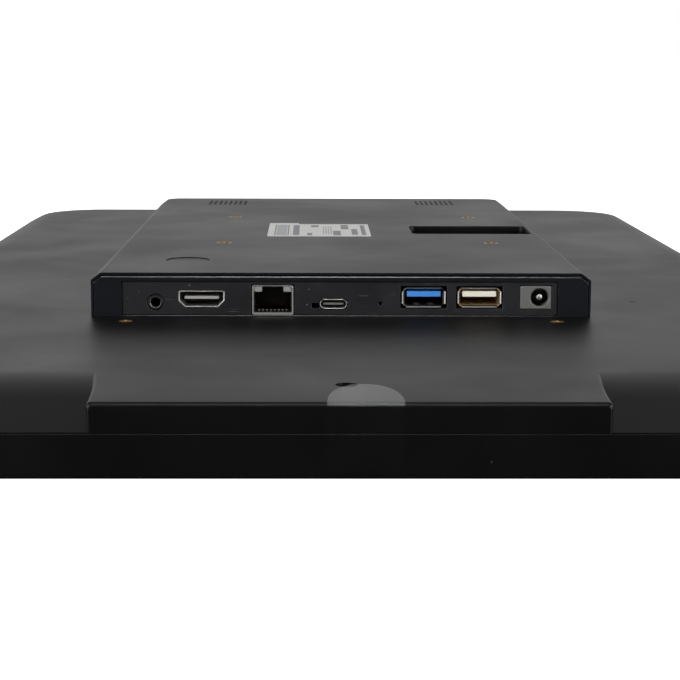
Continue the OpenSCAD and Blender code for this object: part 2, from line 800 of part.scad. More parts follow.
module usb_c_shell() {
    color([0.75, 0.75, 0.75]) difference() {
        extrude_y(mouth, mouth + 9) usb_c_outline(0.32);
        extrude_y(mouth - eps, mouth + 8.6) usb_c_outline(0);
    }
}

module usb_c_tongue() {
    color([0.1, 0.1, 0.1]) union() {
        bar_y(usb_c, [6.6, 0.7], mouth + 0.7, mouth + 7.4);
        extrude_y(mouth + 7, mouth + 8.5) usb_c_outline(-0.05);
    }
}

module usb_shell(at) {
    color([0.78, 0.78, 0.78]) difference() {
        union() {
            bar_y(at, usb_lip, mouth, mouth + metal);
            bar_y(at, usb_body, mouth, mouth + 17);
        }
        bar_y(at, usb_body - 2 * [metal, metal], mouth - eps, mouth + 18);
    }
}

// Tongue near the top of the shell, on a block that fills the back
module usb_tongue(at, c) {
    inner = usb_body - 2 * [metal, metal] - [0.1, 0.1];
    color(c) union() {
        bar_y(at + [0, 1.05], [11.1, 1.84], mouth + 0.8, mouth + 10);
        bar_y(at, inner, mouth + 9.5, mouth + 16.8);
    }
}

module usb3_shell() { usb_shell(usb3); }
module usb3_tongue() { usb_tongue(usb3, [0.08, 0.35, 0.8]); }
module usb2_shell() { usb_shell(usb2); }
module usb2_tongue() { usb_tongue(usb2, [0.9, 0.88, 0.76]); }

dc_depth = 9.5;
module dc_jack() {
    color([0.33, 0.33, 0.33]) difference() {
        bar_y(dc, [10.1, 7.55], mouth, mouth + 14);
        rod_y([dc_bore_x, dc[1]], dc_bore_d / 2, mouth - eps, mouth + dc_depth);
        rod_y([dc_bore_x, dc[1]], 1, mouth, mouth + dc_depth + 2);
    }
}

module dc_pin() {
    color([0.85, 0.82, 0.75]) rod_y([dc_bore_x, dc[1]], 1, mouth + 1, mouth + dc_depth + 2);
}

screen_film();
film_tab();
cover_glass();
glass_tape();
touch_sensor();
lcd_cell();
diffuser_films();
light_guide();
reflector_sheet();
led_strip();
backlight_tray();
tray_screws();
front_frame();
rear_shell();
shell_screw();
box_cover();
cover_screws();
port_bezel();
port_plate();
pocket_liner();
rating_label();
power_button();
power_switch();
switch_plunger();
reset_switch();
reset_plunger();
vesa_inserts();
lower_inserts();
mainboard();
board_chips();
heat_sink();
board_screws();
timing_board();
display_ribbon();
touch_board();
touch_ribbon();
speakers();
wifi_antennas();
microphone();
audio_jack();
hdmi_shell();
hdmi_insert();
ethernet_shell();
ethernet_body();
ethernet_contacts();
ethernet_light_pipes();
usb_c_shell();
usb_c_tongue();
usb3_shell();
usb3_tongue();
usb2_shell();
usb2_tongue();
dc_jack();
dc_pin();
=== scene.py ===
import math

import bmesh
import bpy
from mathutils import Matrix, Vector


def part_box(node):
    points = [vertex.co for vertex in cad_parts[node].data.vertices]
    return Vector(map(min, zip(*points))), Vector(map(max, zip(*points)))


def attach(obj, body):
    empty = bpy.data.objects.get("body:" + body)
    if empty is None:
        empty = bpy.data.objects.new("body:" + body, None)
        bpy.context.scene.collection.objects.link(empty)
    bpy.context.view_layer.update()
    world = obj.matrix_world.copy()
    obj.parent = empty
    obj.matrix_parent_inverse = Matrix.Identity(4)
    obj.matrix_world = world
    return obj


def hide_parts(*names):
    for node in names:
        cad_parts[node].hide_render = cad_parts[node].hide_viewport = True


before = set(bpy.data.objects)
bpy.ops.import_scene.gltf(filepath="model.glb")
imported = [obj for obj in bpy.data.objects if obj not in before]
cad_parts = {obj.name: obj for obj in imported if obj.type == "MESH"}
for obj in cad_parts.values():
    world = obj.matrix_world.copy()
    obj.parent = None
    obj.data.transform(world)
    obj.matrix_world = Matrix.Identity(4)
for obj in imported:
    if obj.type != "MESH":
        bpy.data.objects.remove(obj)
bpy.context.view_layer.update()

MM = 0.001
scene = bpy.context.scene


# ---- camera ----
# A long lens, 0.58 m in front of the port face and a little above the panel's back.
# It looks almost level along the panel, so every upward face is seen at a grazing angle.
LENS = 94.8
SENSOR = 36
EYE_LEFT = 9.6 * MM
EYE_BACK = 578.1 * MM
EYE_HEIGHT = 108.5 * MM

port_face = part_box("box_cover")[0].y
eye = Vector((-EYE_LEFT, port_face - EYE_BACK, EYE_HEIGHT))
dip = math.radians(9.41)
turn = math.radians(0.91)
lean = math.radians(0.22)
forward = Vector((math.sin(turn) * math.cos(dip), math.cos(turn) * math.cos(dip), -math.sin(dip)))
level = Vector((math.cos(turn), -math.sin(turn), 0))
upright = level.cross(forward)
right = level * math.cos(lean) + upright * math.sin(lean)
up = upright * math.cos(lean) - level * math.sin(lean)

camera = bpy.data.objects.new("camera", bpy.data.cameras.new("camera"))
scene.collection.objects.link(camera)
camera.data.lens = LENS
camera.data.sensor_width = SENSOR
camera.data.clip_start = 10 * MM
rows = zip(right, up, -forward)
camera.matrix_world = Matrix([(*row, place) for row, place in zip(rows, eye)]).to_4x4()
scene.camera = camera


# ---- studio ----
# A white table in a white room that darkens towards the ceiling. Two large low softboxes at the sides
# light the ports; a small one above the camera and a weak one overhead pick out the edges.
# The table isn't seen in the plastic's gloss, so the upright faces stay as dark as they are.
def linear(code):
    """The linear colour of an sRGB hex code."""
    values = [int(code[i:i + 2], 16) / 255 for i in (1, 3, 5)]
    return (*[v / 12.92 if v <= 0.04045 else ((v + 0.055) / 1.055) ** 2.4 for v in values], 1)


def add(tree, kind, inputs=None, stops=None, **settings):
    """A new node: settings are its own properties, inputs its values or links, stops its colour ramp."""
    node = tree.nodes.new(kind)
    for name, value in settings.items():
        setattr(node, name, value)
    for socket, value in (inputs or {}).items():
        if isinstance(value, bpy.types.NodeSocket):
            tree.links.new(value, node.inputs[socket])
        else:
            node.inputs[socket].default_value = value
    if stops:
        ramp = node.color_ramp
        while len(ramp.elements) < len(stops):
            ramp.elements.new(0.5)
        for element, (place, colour) in zip(ramp.elements, stops):
            element.position = place
            element.color = colour
    return node


def noise(tree, place, size, detail, distortion=0):
    """Clouds about as big as size, from 0 to 1."""
    return add(tree, "ShaderNodeTexNoise", {"Vector": place, "Scale": 1 / size, "Detail": detail,
                                           "Distortion": distortion}).outputs["Fac"]


def blend(tree, share, first, second):
    """The first colour, and the second as the share rises to 1."""
    return add(tree, "ShaderNodeMix", {0: share, 6: first, 7: second}, data_type="RGBA").outputs[2]


def remap(tree, value, ends=(0, 1), onto=(0, 1)):
    """The value, held between its ends, laid out onto another range."""
    return add(tree, "ShaderNodeMapRange", {"Value": value, "From Min": ends[0], "From Max": ends[1],
                                           "To Min": onto[0], "To Max": onto[1]}).outputs["Result"]


def bump(tree, height, distance, normal=None):
    """The surface's normal, tilted by a height that goes up and down by that distance."""
    inputs = {"Height": height, "Distance": distance}
    if normal:
        inputs["Normal"] = normal
    return add(tree, "ShaderNodeBump", inputs).outputs["Normal"]


def wire(tree, shader, colour, gloss=None, relief=None):
    """Links a colour, a roughness and a relief to the shader."""
    for output, name in ((colour, "Base Color"), (gloss, "Roughness"), (relief, "Normal")):
        if output:
            tree.links.new(output, shader.inputs[name])


def grey(value):
    """A grey of that linear brightness."""
    return (value, value, value, 1)


# Brightness of the room by the sine of the elevation: dark below the table's edge, bright at eye
# level and dimmer towards the ceiling.
ROOM = [(-1, 0.02), (-0.06, 0.03), (0.05, 0.7), (0.26, 0.62), (0.45, 0.34), (0.7, 0.1), (1, 0.05)]
# It fades from the far wall to almost nothing behind the camera: where along the room the fade
# starts and ends, and what the brightness is multiplied by on either side of it.
FADE_START = 0.25
FADE_END = -0.15
AHEAD = 1.55
BEHIND = 0.02

scene.view_settings.view_transform = "Standard"
world = bpy.data.worlds.new("white_room")
scene.world = world
world.use_nodes = True
tree = world.node_tree
tree.nodes.clear()
towards = add(tree, "ShaderNodeSeparateXYZ", {"Vector": add(tree, "ShaderNodeTexCoord").outputs["Generated"]})
height = remap(tree, towards.outputs["Z"], (-1, 1))
room = add(tree, "ShaderNodeValToRGB", {"Fac": height},
           stops=[((s + 1) / 2, grey(v)) for s, v in ROOM])
depth = remap(tree, towards.outputs["Y"], (FADE_END, FADE_START), (BEHIND, AHEAD))
lit = add(tree, "ShaderNodeMix", {0: 1, 6: room.outputs["Color"], 7: depth},
          data_type="RGBA", blend_type="MULTIPLY")
seen = add(tree, "ShaderNodeLightPath").outputs["Is Camera Ray"]
walls = blend(tree, seen, lit.outputs[2], grey(1))
background = add(tree, "ShaderNodeBackground", {"Color": walls})
add(tree, "ShaderNodeOutputWorld", {"Surface": background.outputs["Background"]})


def start(name):
    """A material with a bare Principled shader: it, its tree, the shader and the object coordinates."""
    material = bpy.data.materials.new(name)
    material.use_nodes = True
    tree = material.node_tree
    tree.nodes.clear()
    shader = add(tree, "ShaderNodeBsdfPrincipled")
    add(tree, "ShaderNodeOutputMaterial", {"Surface": shader.outputs["BSDF"]})
    return material, tree, shader, add(tree, "ShaderNodeTexCoord").outputs["Object"]


# Matt white laminate with faint fibre clouds 60 mm across. It glows, so that no shadow shows on it,
# and from below it isn't there, so that the screen can be looked at.
table_top, tree, shader, place = start("matt_white_laminate")
fibre = noise(tree, place, 60 * MM, 3)
pale = blend(tree, fibre, linear("#f4f4f3"), linear("#f8f8f8"))
tree.links.new(pale, shader.inputs["Base Color"])
tree.links.new(pale, shader.inputs["Emission Color"])
under = add(tree, "ShaderNodeNewGeometry").outputs["Backfacing"]
nothing = add(tree, "ShaderNodeBsdfTransparent")
one_way = add(tree, "ShaderNodeMixShader", {0: under, 1: shader.outputs["BSDF"], 2: nothing.outputs["BSDF"]})
tree.links.new(one_way.outputs["Shader"], tree.nodes["Material Output"].inputs["Surface"])
shader.inputs["Emission Strength"].default_value = 1.15
shader.inputs["Roughness"].default_value = 0.9
shader.inputs["Specular IOR Level"].default_value = 0.1

TABLE_HALF = 15
mesh = bpy.data.meshes.new("table_top")
corners = [(sx * TABLE_HALF, sy * TABLE_HALF, 0) for sx, sy in ((-1, -1), (1, -1), (1, 1), (-1, 1))]
mesh.from_pydata(corners, [], [(0, 1, 2, 3)])
mesh.materials.append(table_top)
floor = bpy.data.objects.new("table_top", mesh)
scene.collection.objects.link(floor)
floor.visible_glossy = False


def softbox(name, place, aim, size, power):
    """A square area light that faces a point."""
    light = bpy.data.lights.new(name, "AREA")
    light.energy = power
    light.size = size
    lamp = bpy.data.objects.new(name, light)
    scene.collection.objects.link(lamp)
    lamp.location = place
    lamp.rotation_euler = (Vector(place) - Vector(aim)).to_track_quat("Z", "Y").to_euler()


PORTS = (0, -0.15, 0)
softbox("left_softbox", (-1.7, -1.1, 0.5), PORTS, size=0.8, power=31)
softbox("right_softbox", (1.7, -1.1, 0.5), PORTS, size=0.8, power=31)
softbox("front_softbox", (0, -1.3, 1.5), PORTS, size=0.45, power=12)
softbox("overhead_softbox", (0, -0.1, 1.7), (0, 0, 0), size=0.6, power=2)


# ---- front frame ----
# A black ABS ring round the glass: an outer wall, with a flange inside that the glass is taped to.
# Injection moulded with a fine satin texture. The rear shell plugs into its open back.
def ring(half, radius, z, steps=14):
    """Points round a rounded rectangle at one height, anticlockwise from above."""
    points = []
    for q in range(4):
        sx = 1 if q in (0, 3) else -1
        sy = 1 if q < 2 else -1
        for i in range(steps + 1):
            a = math.radians(90 * (q + i / steps))
            points.append((sx * (half[0] - radius) + radius * math.cos(a),
                           sy * (half[1] - radius) + radius * math.sin(a), z))
    return points


def build(name, rings, closed=False):
    """A piece lofted through rings of points, with flat ends, or closed on itself as a tube is."""
    n = len(rings[0])
    shape = bmesh.new()
    points = [shape.verts.new(p) for r in rings for p in r]
    for k in range(len(rings) if closed else len(rings) - 1):
        low = k * n
        high = (k + 1) % len(rings) * n
        for i in range(n):
            j = (i + 1) % n
            shape.faces.new((points[low + i], points[low + j], points[high + j], points[high + i]))
    if not closed:
        shape.faces.new(points[n - 1::-1])
        shape.faces.new(points[-n:])
    bmesh.ops.remove_doubles(shape, verts=shape.verts, dist=1e-6)
    bmesh.ops.recalc_face_normals(shape, faces=shape.faces)
    mesh = bpy.data.meshes.new(name)
    shape.to_mesh(mesh)
    shape.free()
    piece = bpy.data.objects.new(name, mesh)
    scene.collection.objects.link(piece)
    return piece


def settle(piece):
    """Turns the piece's modifiers into plain mesh."""
    bpy.context.view_layer.update()
    graph = bpy.context.evaluated_depsgraph_get()
    piece.data = bpy.data.meshes.new_from_object(piece.evaluated_get(graph))
    piece.modifiers.clear()
    return piece


def carve(piece, *tools, operation="DIFFERENCE"):
    """Cuts the tools out of the piece, or joins them to it, and takes the tools away."""
    for tool in tools:
        step = piece.modifiers.new("tool", "BOOLEAN")
        step.operation = operation
        step.solver = "EXACT"
        step.object = tool
    settle(piece)
    for tool in tools:
        bpy.data.objects.remove(tool)
    return piece


def block(x0, x1, y0, y1, z0, z1):
    """A plain block, as a tool."""
    rings = [[(x0, y0, z), (x1, y0, z), (x1, y1, z), (x0, y1, z)] for z in (z0, z1)]
    return build("tool", rings)


def turned(name, profile, x=0, y=0, steps=32, closed=False):
    """A piece turned about an upright axis, from (radius, z) points."""
    angles = [math.tau * i / steps for i in range(steps)]
    return build(name, [[(x + r * math.cos(a), y + r * math.sin(a), z) for a in angles] for r, z in profile],
                 closed)


def rod(x, y, radius, z0, z1, steps=32):
    """A plain upright rod, as a tool."""
    return turned("tool", [(radius, z0), (radius, z1)], x, y, steps)


def finish(piece, material, body, slot, *nodes, sharp=30, edge=0):
    """Rounds the piece's sharp edges, gives it its finish and stands it in for its CAD nodes."""
    if edge:
        bevel = piece.modifiers.new("edge", "BEVEL")
        bevel.width = edge
        bevel.segments = 2
        bevel.limit_method = "ANGLE"
        bevel.angle_limit = math.radians(sharp)
        bevel.miter_outer = "MITER_ARC"
        settle(piece)
    several = isinstance(material, list)
    parts = [face.material_index if several else 0 for face in piece.data.polygons]
    piece.data.materials.clear()
    for each in material if several else [material]:
        piece.data.materials.append(each)
    piece.data.polygons.foreach_set("material_index", parts)
    piece.data.shade_smooth()
    piece.data.set_sharp_from_angle(angle=math.radians(sharp))
    weigh = piece.modifiers.new("weigh", "WEIGHTED_NORMAL")
    weigh.keep_sharp = True
    settle(piece)
    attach(piece, body)
    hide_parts(*nodes)
    return piece


def moulded(name, colour, rough, grain=0.55, depth=0.012, marks=0.5, ior=1.5):
    """Moulded plastic: spark-eroded grain, uneven gloss, faint flow in the colour and a little dust."""
    # The real grain is about 0.1 mm: it is drawn as coarse as it needs to be to show, in mm.
    # Flow marks are 45 mm across, sink marks 70 mm, and the dust specks lie about 14 mm apart.
    material, tree, shader, place = start(name)
    fine = noise(tree, place, grain * MM, 2)
    flow = noise(tree, place, 45 * MM, 5, distortion=0.4)
    gloss = remap(tree, flow, (0.3, 0.7), (rough - 0.035, rough + 0.035))
    wave = noise(tree, place, 70 * MM, 1)
    sink = bump(tree, wave, 0.05 * MM)
    relief = bump(tree, fine, depth * MM, sink)
    dust = add(tree, "ShaderNodeTexVoronoi", {"Vector": place, "Scale": 1 / (14 * MM)})
    speck = remap(tree, dust.outputs["Distance"], (0.018, 0.03), (marks, 0))
    lighter = [min(1, c * 1.35 + 0.0006) for c in linear(colour)[:3]]
    body = blend(tree, flow, linear(colour), (*lighter, 1))
    dusty = blend(tree, speck, body, linear("#6a6966"))
    wire(tree, shader, dusty, gloss, relief)
    shader.inputs["IOR"].default_value = ior
    return material


# Satin black ABS: almost black face on, grey only where it is seen at a grazing angle.
satin_black = moulded("satin_black_ABS", "#020202", 0.45, depth=0.006, marks=0.07, ior=1.3)

frame_low, frame_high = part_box("front_frame")
half_w = frame_high.x
half_l = frame_high.y
frame_top = frame_high.z
glass_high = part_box("cover_glass")[1]
tray_low, tray_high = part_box("backlight_tray")
CORNER = 20 * MM
WALL = 5 * MM
OPENING = 10 * MM
GLASS_GAP = 0.15 * MM
FLANGE = 2.5 * MM
FOOT_ROUND = 0.9 * MM
TOP_ROUND = 0.25 * MM
INNER_CHAMFER = 0.3 * MM
FOOT_CHAMFER = 0.2 * MM
OPENING_CORNER = 3 * MM
TRAY_SCREW_R = 2.4 * MM
TRAY_POST_R = 3.2 * MM
WELL_BLOCK_HALF = 6.5 * MM
rebate = half_w - glass_high.x - GLASS_GAP
ledge = tray_low.z
flange_top = ledge + FLANGE
quarter = [math.radians(a) for a in range(0, 91, 15)]


def hoop(inset, z, radius=None):
    """The frame's outline drawn in by an inset, at one height."""
    return ring((half_w - inset, half_l - inset), CORNER - inset if radius is None else radius, z)


# The ring's section: round its foot, up the outside, over the top, down inside and round the flange.
levels = [hoop(FOOT_ROUND * (1 - math.sin(a)), frame_low.z + FOOT_ROUND * (1 - math.cos(a))) for a in quarter]
levels += [hoop(TOP_ROUND * (1 - math.cos(a)), frame_top - TOP_ROUND * (1 - math.sin(a))) for a in quarter]
levels += [hoop(WALL - INNER_CHAMFER, frame_top), hoop(WALL, frame_top - INNER_CHAMFER),
           hoop(WALL, flange_top), hoop(OPENING, flange_top, OPENING_CORNER),
           hoop(OPENING, ledge, OPENING_CORNER), hoop(rebate, ledge),
           hoop(rebate, frame_low.z + FOOT_CHAMFER), hoop(rebate + FOOT_CHAMFER, frame_low.z)]
front_frame = build("front_frame_ring", levels, closed=True)


def middle(node):
    """The middle of a CAD node's box."""
    return (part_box(node)[0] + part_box(node)[1]) / 2


# Six posts for the tray's screws and a block for the chin's screw, trimmed back to the flange.
screw_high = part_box("tray_screws")[1]
post_x = screw_high.x - TRAY_SCREW_R
post_y = screw_high.y - TRAY_SCREW_R
post_top = tray_high.z - 0.8 * MM
posts = [rod(sx * post_x, y, TRAY_POST_R, ledge + 1 * MM, post_top)
         for sx in (-1, 1) for y in (-post_y, 0, post_y)]
well = middle("shell_screw")
posts.append(block(well.x - WELL_BLOCK_HALF, well.x + WELL_BLOCK_HALF, -glass_high.y - 0.5 * MM,
                   -glass_high.y + 22 * MM, tray_high.z + 0.4 * MM, frame_top))
carve(front_frame, *posts, operation="UNION")
flange_edge = half_w - OPENING
trim = [block(sx * (flange_edge - 5 * MM), sx * flange_edge, -half_l / 1.4, half_l / 1.4, 0, frame_top)
        for sx in (-1, 1)]
finish(carve(front_frame, *trim), satin_black, "panel", "black_abs", "front_frame")


# ---- rear shell ----
# The sloping black ABS back, 2 mm thick: flat in the middle, rounded down to the frame all round,
# with a square chin at the near edge. One moulding, satin textured.
shell_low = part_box("rear_shell")[0]
back_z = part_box("box_cover")[0].z
STEP_IN = 0.4 * MM
STEP_UP = 0.3 * MM
SKIN = 2 * MM
SIDE_RUN = 20 * MM
END_RUN = 42 * MM
ROUNDER = 8 * MM
STRAIGHT = 0.45
steepness = 2 / (1 + STRAIGHT)


def climb(t):
    """Height along the slope: straight near the edge, then rounded into the flat back."""
    if t < STRAIGHT:
        return steepness * t
    return 1 - steepness * (1 - t) ** 2 / (2 * (1 - STRAIGHT))


def slopes(inset, drop, foot, steps=36):
    """Levels of the sloping back, from its foot to the flat, its corners rounder towards the top."""
    edge = STEP_IN + inset
    base = frame_top + STEP_UP
    levels = [ring((half_w - edge, half_l - edge), CORNER - edge, foot)]
    for i in range(steps + 1):
        t = i / steps
        half = (half_w - edge - SIDE_RUN * t, half_l - edge - END_RUN * t)
        levels.append(ring(half, CORNER - edge + ROUNDER * t, base + (back_z - base) * climb(t) - drop))
    return levels


CHIN_HALF = 66.1 * MM
CHIN_FLARE = 5.6 * MM
CHIN_LENGTH = 52 * MM
CHIN_ROUND = 1.2 * MM
CHIN_BOW = 0.5 * MM
CHIN_STEPS = 24
BOW_LENGTH = 22 * MM


def chin_top(y):
    """Height of the chin's top, which bows down towards the near edge."""
    u = min(1, max(0, (y - shell_low.y - CHIN_ROUND) / BOW_LENGTH))
    return back_z - CHIN_BOW * (1 - u) ** 2


def chin(inset, foot):
    """The chin as a solid: sections across it, from the near edge into the flat back."""
    near = shell_low.y + inset
    stations = [(near + CHIN_ROUND * (1 - math.cos(a)), CHIN_ROUND * (1 - math.sin(a))) for a in quarter]
    stations += [(near + CHIN_ROUND + (CHIN_LENGTH - CHIN_ROUND) * (i / CHIN_STEPS) ** 1.3, 0)
                 for i in range(1, CHIN_STEPS + 1)]
    sections = []
    for y, drop in stations:
        t = (y - near) / CHIN_LENGTH
        half = CHIN_HALF + CHIN_FLARE * t * t - inset - drop * 0.7
        top = chin_top(y) - inset - drop - 0.01 * MM
        edge = [(half - CHIN_ROUND * (1 - math.cos(a)), top - CHIN_ROUND * (1 - math.sin(a)))
                for a in quarter]
        outline = [(half, foot)] + edge + [(-x, z) for x, z in reversed(edge)] + [(-half, foot)]
        sections.append([(x, y, z) for x, z in outline])
    return build("tool", sections)


rear_shell = build("rear_shell_moulding", slopes(0, 0, frame_top))
carve(rear_shell, chin(0, frame_top + 0.05 * MM), operation="UNION")
carve(rear_shell, build("tool", slopes(SKIN + 0.4 * MM, SKIN, frame_top - 3 * MM)),
      chin(SKIN, frame_top - 5 * MM))


def centres(node, radius, between=()):
    """Where a node's round parts stand: in rows along its box, drawn in by their radius."""
    low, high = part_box(node)
    rows = (low.y + radius, *between, high.y - radius)
    return [(x, y) for x in (low.x + radius, high.x - radius) for y in rows]


# The locating tongue that plugs into the frame, the screw bosses and the seats of the lower inserts.
SCREW_R = 2.8 * MM
BOSS_R = 3.5 * MM
INSERT_SEAT_R = 4.3 * MM
WELL_TUBE_R = 4.4 * MM
COVER_SCREW_MID = 40 * MM
INSERT_R = 2.3 * MM
TONGUE_OUT = WALL + 0.3 * MM
TONGUE_IN = TONGUE_OUT + 1.5 * MM
tongue_foot = frame_top - 1.4 * MM
tongue_root = frame_top + 0.7 * MM
tongue_levels = [(TONGUE_OUT, tongue_foot), (TONGUE_OUT, tongue_root),
                 (TONGUE_IN, tongue_root), (TONGUE_IN, tongue_foot)]
rim_tongue = build("tool", [hoop(inset, z) for inset, z in tongue_levels], closed=True)
carve(rim_tongue, block(well.x - 13 * MM, well.x + 13 * MM, -half_l, -half_l / 1.5, 0, frame_top))
insert_low, insert_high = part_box("lower_inserts")
insert_x = insert_high.x - INSERT_R
insert_y = (insert_low.y + insert_high.y) / 2
board_points = centres("board_screws", SCREW_R)
cover_points = centres("cover_screws", SCREW_R, [COVER_SCREW_MID])
bosses = [rod(x, y, BOSS_R, back_z - SKIN - 3.5 * MM, back_z + 0.6 * MM) for x, y in board_points]
seats = [rod(sx * insert_x, insert_y, INSERT_SEAT_R, back_z - 7.5 * MM, back_z - 1 * MM) for sx in (-1, 1)]
screw_tube = rod(well.x, well.y, WELL_TUBE_R, frame_top, back_z - 1 * MM)
carve(rear_shell, rim_tongue, screw_tube, *bosses, *seats, operation="UNION")

# Holes for the inserts, the board's screws, the chin's screw, the microphone, the cables and the lid.
WELL_R = 3 * MM
WELL_SCREW_R = 1.6 * MM
BOARD_SCREW_R = 1.3 * MM
COVER_SCREW_R = 1.7 * MM
SLIT_HALF = (1.15 * MM, 0.5 * MM)
CABLES_X = (-35 * MM, 45 * MM)
CABLES_Y = (-112 * MM, -88 * MM)
seat_floor = frame_top + 1.6 * MM
mic_low, mic_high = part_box("microphone")
mic_x = (mic_low.x + mic_high.x) / 2
mic_y = (mic_low.y + mic_high.y) / 2
holes = [rod(sx * insert_x, insert_y, INSERT_R, insert_low.z, back_z + 1 * MM) for sx in (-1, 1)]
holes += [rod(x, y, BOARD_SCREW_R, back_z - 5 * MM, back_z + 3 * MM) for x, y in board_points]
holes += [rod(well.x, well.y, WELL_R, seat_floor, back_z + 1 * MM, steps=48),
          rod(well.x, well.y, WELL_SCREW_R, frame_top - 1 * MM, frame_top + 3 * MM),
          block(mic_x - SLIT_HALF[0], mic_x + SLIT_HALF[0], mic_y - SLIT_HALF[1], mic_y + SLIT_HALF[1],
                back_z - 3 * MM, back_z + 1 * MM),
          block(*CABLES_X, *CABLES_Y, back_z - 3 * MM, back_z + 0.3 * MM)]
holes += [rod(x, y, COVER_SCREW_R, back_z - 3 * MM, back_z + 0.4 * MM) for x, y in cover_points]
finish(carve(rear_shell, *holes), satin_black, "panel", "black_abs", "rear_shell", sharp=28)


# ---- chin screw ----
# A blackened steel machine screw with a cross recess, at the bottom of the round well in the chin.
# It is driven into the block on the frame and holds the shell down.
def cross_screw(name, head, height, shank, length):
    """A pan-head screw with a cross recess, its head's underside at the origin, as a template."""
    profile = [(shank, -length), (shank, 0), (head, 0)]
    profile += [(head * math.cos(a), height * (0.35 + 0.65 * math.sin(a))) for a in quarter[:-1]]
    profile += [(head * 0.05, height)]
    thin = 0.12 * head
    wide = 0.6 * head
    slots = [block(-x, x, -y, y, height * 0.35, height * 1.2) for x, y in ((thin, wide), (wide, thin))]
    return carve(turned(name, profile), *slots)


def coated(name, colour, rough, metallic=1.0, grain=0.25, depth=0.006):
    """Metal with a thin plated or blackened skin: fine scratches one way and a slightly cloudy gloss."""
    # Real polishing scratches are under 0.05 mm: they are drawn as coarse as they need to be to show.
    # The clouds in the gloss are 2.5 mm across.
    material, tree, shader, place = start(name)
    stretch = add(tree, "ShaderNodeMapping", {"Vector": place, "Scale": (1, 6, 1)})
    fine = noise(tree, stretch.outputs["Vector"], grain * MM, 3)
    cloud = noise(tree, place, 2.5 * MM, 3)
    gloss = remap(tree, cloud, (0.3, 0.7), (rough - 0.06, rough + 0.06))
    darker = [c * 0.72 for c in linear(colour)[:3]]
    tone = blend(tree, cloud, linear(colour), (*darker, 1))
    relief = bump(tree, fine, depth * MM)
    wire(tree, shader, tone, gloss, relief)
    shader.inputs["Metallic"].default_value = metallic
    return material


# Oxide-blackened steel: a dark metal with a soft, slightly cloudy shine.
blackened_steel = coated("blackened_steel", "#2a2a2c", 0.42)
screw = cross_screw("shell_screw_cross", head=2.7 * MM, height=1.6 * MM, shank=1.2 * MM, length=3.9 * MM)
screw.data.transform(Matrix.Translation((well.x, well.y, seat_floor)))
finish(screw, blackened_steel, "panel", "black_steel", "shell_screw")


# ---- box cover ----
# The black ABS lid over the electronics, 2 mm thick with chamfered sides: it screws on from inside.
# It is pierced for the button, the pocket, the wall-mount inserts and two patches of speaker holes.
def fillet(points, radius, steps=5):
    """The same open line with its inner corners rounded."""
    rounded = [points[0]]
    for before, at, after in zip(points, points[1:], points[2:]):
        at = Vector(at)
        to_before = (Vector(before) - at).normalized()
        to_after = (Vector(after) - at).normalized()
        half = to_before.angle(to_after) / 2
        reach = radius / math.tan(half)
        centre = at + (to_before + to_after).normalized() * (radius / math.sin(half))
        first = (at + to_before * reach - centre).normalized()
        last = (at + to_after * reach - centre).normalized()
        for i in range(steps + 1):
            rounded.append(tuple(centre + first.slerp(last, i / steps) * radius))
    return rounded + [points[-1]]


def open_plan(inset, z, near, steps=12):
    """The box's outline at one height: square at the ports, round at the far corners."""
    x = cover_high.x - inset
    y = cover_high.y - inset
    r = BOX_CORNER - inset
    points = [(-x, near, z), (x, near, z)]
    for q in (0, 1):
        sx = 1 - 2 * q
        for i in range(steps + 1):
            a = math.radians(90 * (q + i / steps))
            points.append((sx * (x - r) + r * math.cos(a), y - r + r * math.sin(a), z))
    return points


def through(name, levels):
    """A piece or tool lofted along Y through outlines in XZ, each with its y."""
    return build(name, [[(x, y, z) for x, z in outline] for y, outline in levels])


cover_low, cover_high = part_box("box_cover")
box_top = cover_high.z
CHAMFER_W = 3.2 * MM
CHAMFER_H = 2.4 * MM
BOX_CORNER = 10 * MM
LAP = 0.7 * MM
bezel_low, bezel_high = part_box("port_bezel")
steep_lean = math.tan(math.atan2(CHAMFER_W, CHAMFER_H) / 2)
flat_lean = math.tan(math.atan2(CHAMFER_H, CHAMFER_W) / 2)


def chamfered(o, foot=None):
    """Side line of the box drawn in by o, as (inset, height) from the foot over the chamfer."""
    return [(o, foot or cover_low.z), (o, box_top - CHAMFER_H - o * steep_lean),
            (CHAMFER_W + o * flat_lean, box_top - o)]


def front_outline(o, foot=None, radius=0.0):
    """The whole outline of the box's front, drawn in by o, as (x, z)."""
    side = chamfered(o, foot) + [(cover_high.x, box_top - o)]
    side = (fillet(side, radius) if radius else side)[:-1]
    half = [(cover_high.x - inset, z) for inset, z in side]
    return half + [(-x, z) for x, z in reversed(half)]


side_line = fillet(chamfered(0) + [(8 * MM, box_top)], 0.8 * MM)[:-1]
box_cover = build("box_cover_lid", [open_plan(inset, z, cover_low.y) for inset, z in side_line])
cavity = [open_plan(inset, z, cover_low.y + SKIN) for inset, z in chamfered(SKIN, cover_low.z - 0.5 * MM)]
lap = front_outline(LAP, cover_low.z - 0.5 * MM)
lap_cut = through("tool", [(cover_low.y - 0.5 * MM, lap), (cover_low.y + 3 * MM, lap)])
carve(box_cover, build("tool", cavity), lap_cut)

vesa_low, vesa_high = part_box("vesa_inserts")
VESA_R = 2.8 * MM
VESA_SEAT_R = 4.8 * MM
PILOT_R = 1.25 * MM
vesa_points = centres("vesa_inserts", VESA_R)
seats = [rod(x, y, VESA_SEAT_R, box_top - 8 * MM, box_top - 1 * MM) for x, y in vesa_points]
cover_posts = [rod(x, y, BOSS_R, cover_low.z, box_top - 1 * MM) for x, y in cover_points]
carve(box_cover, *seats, *cover_posts, operation="UNION")

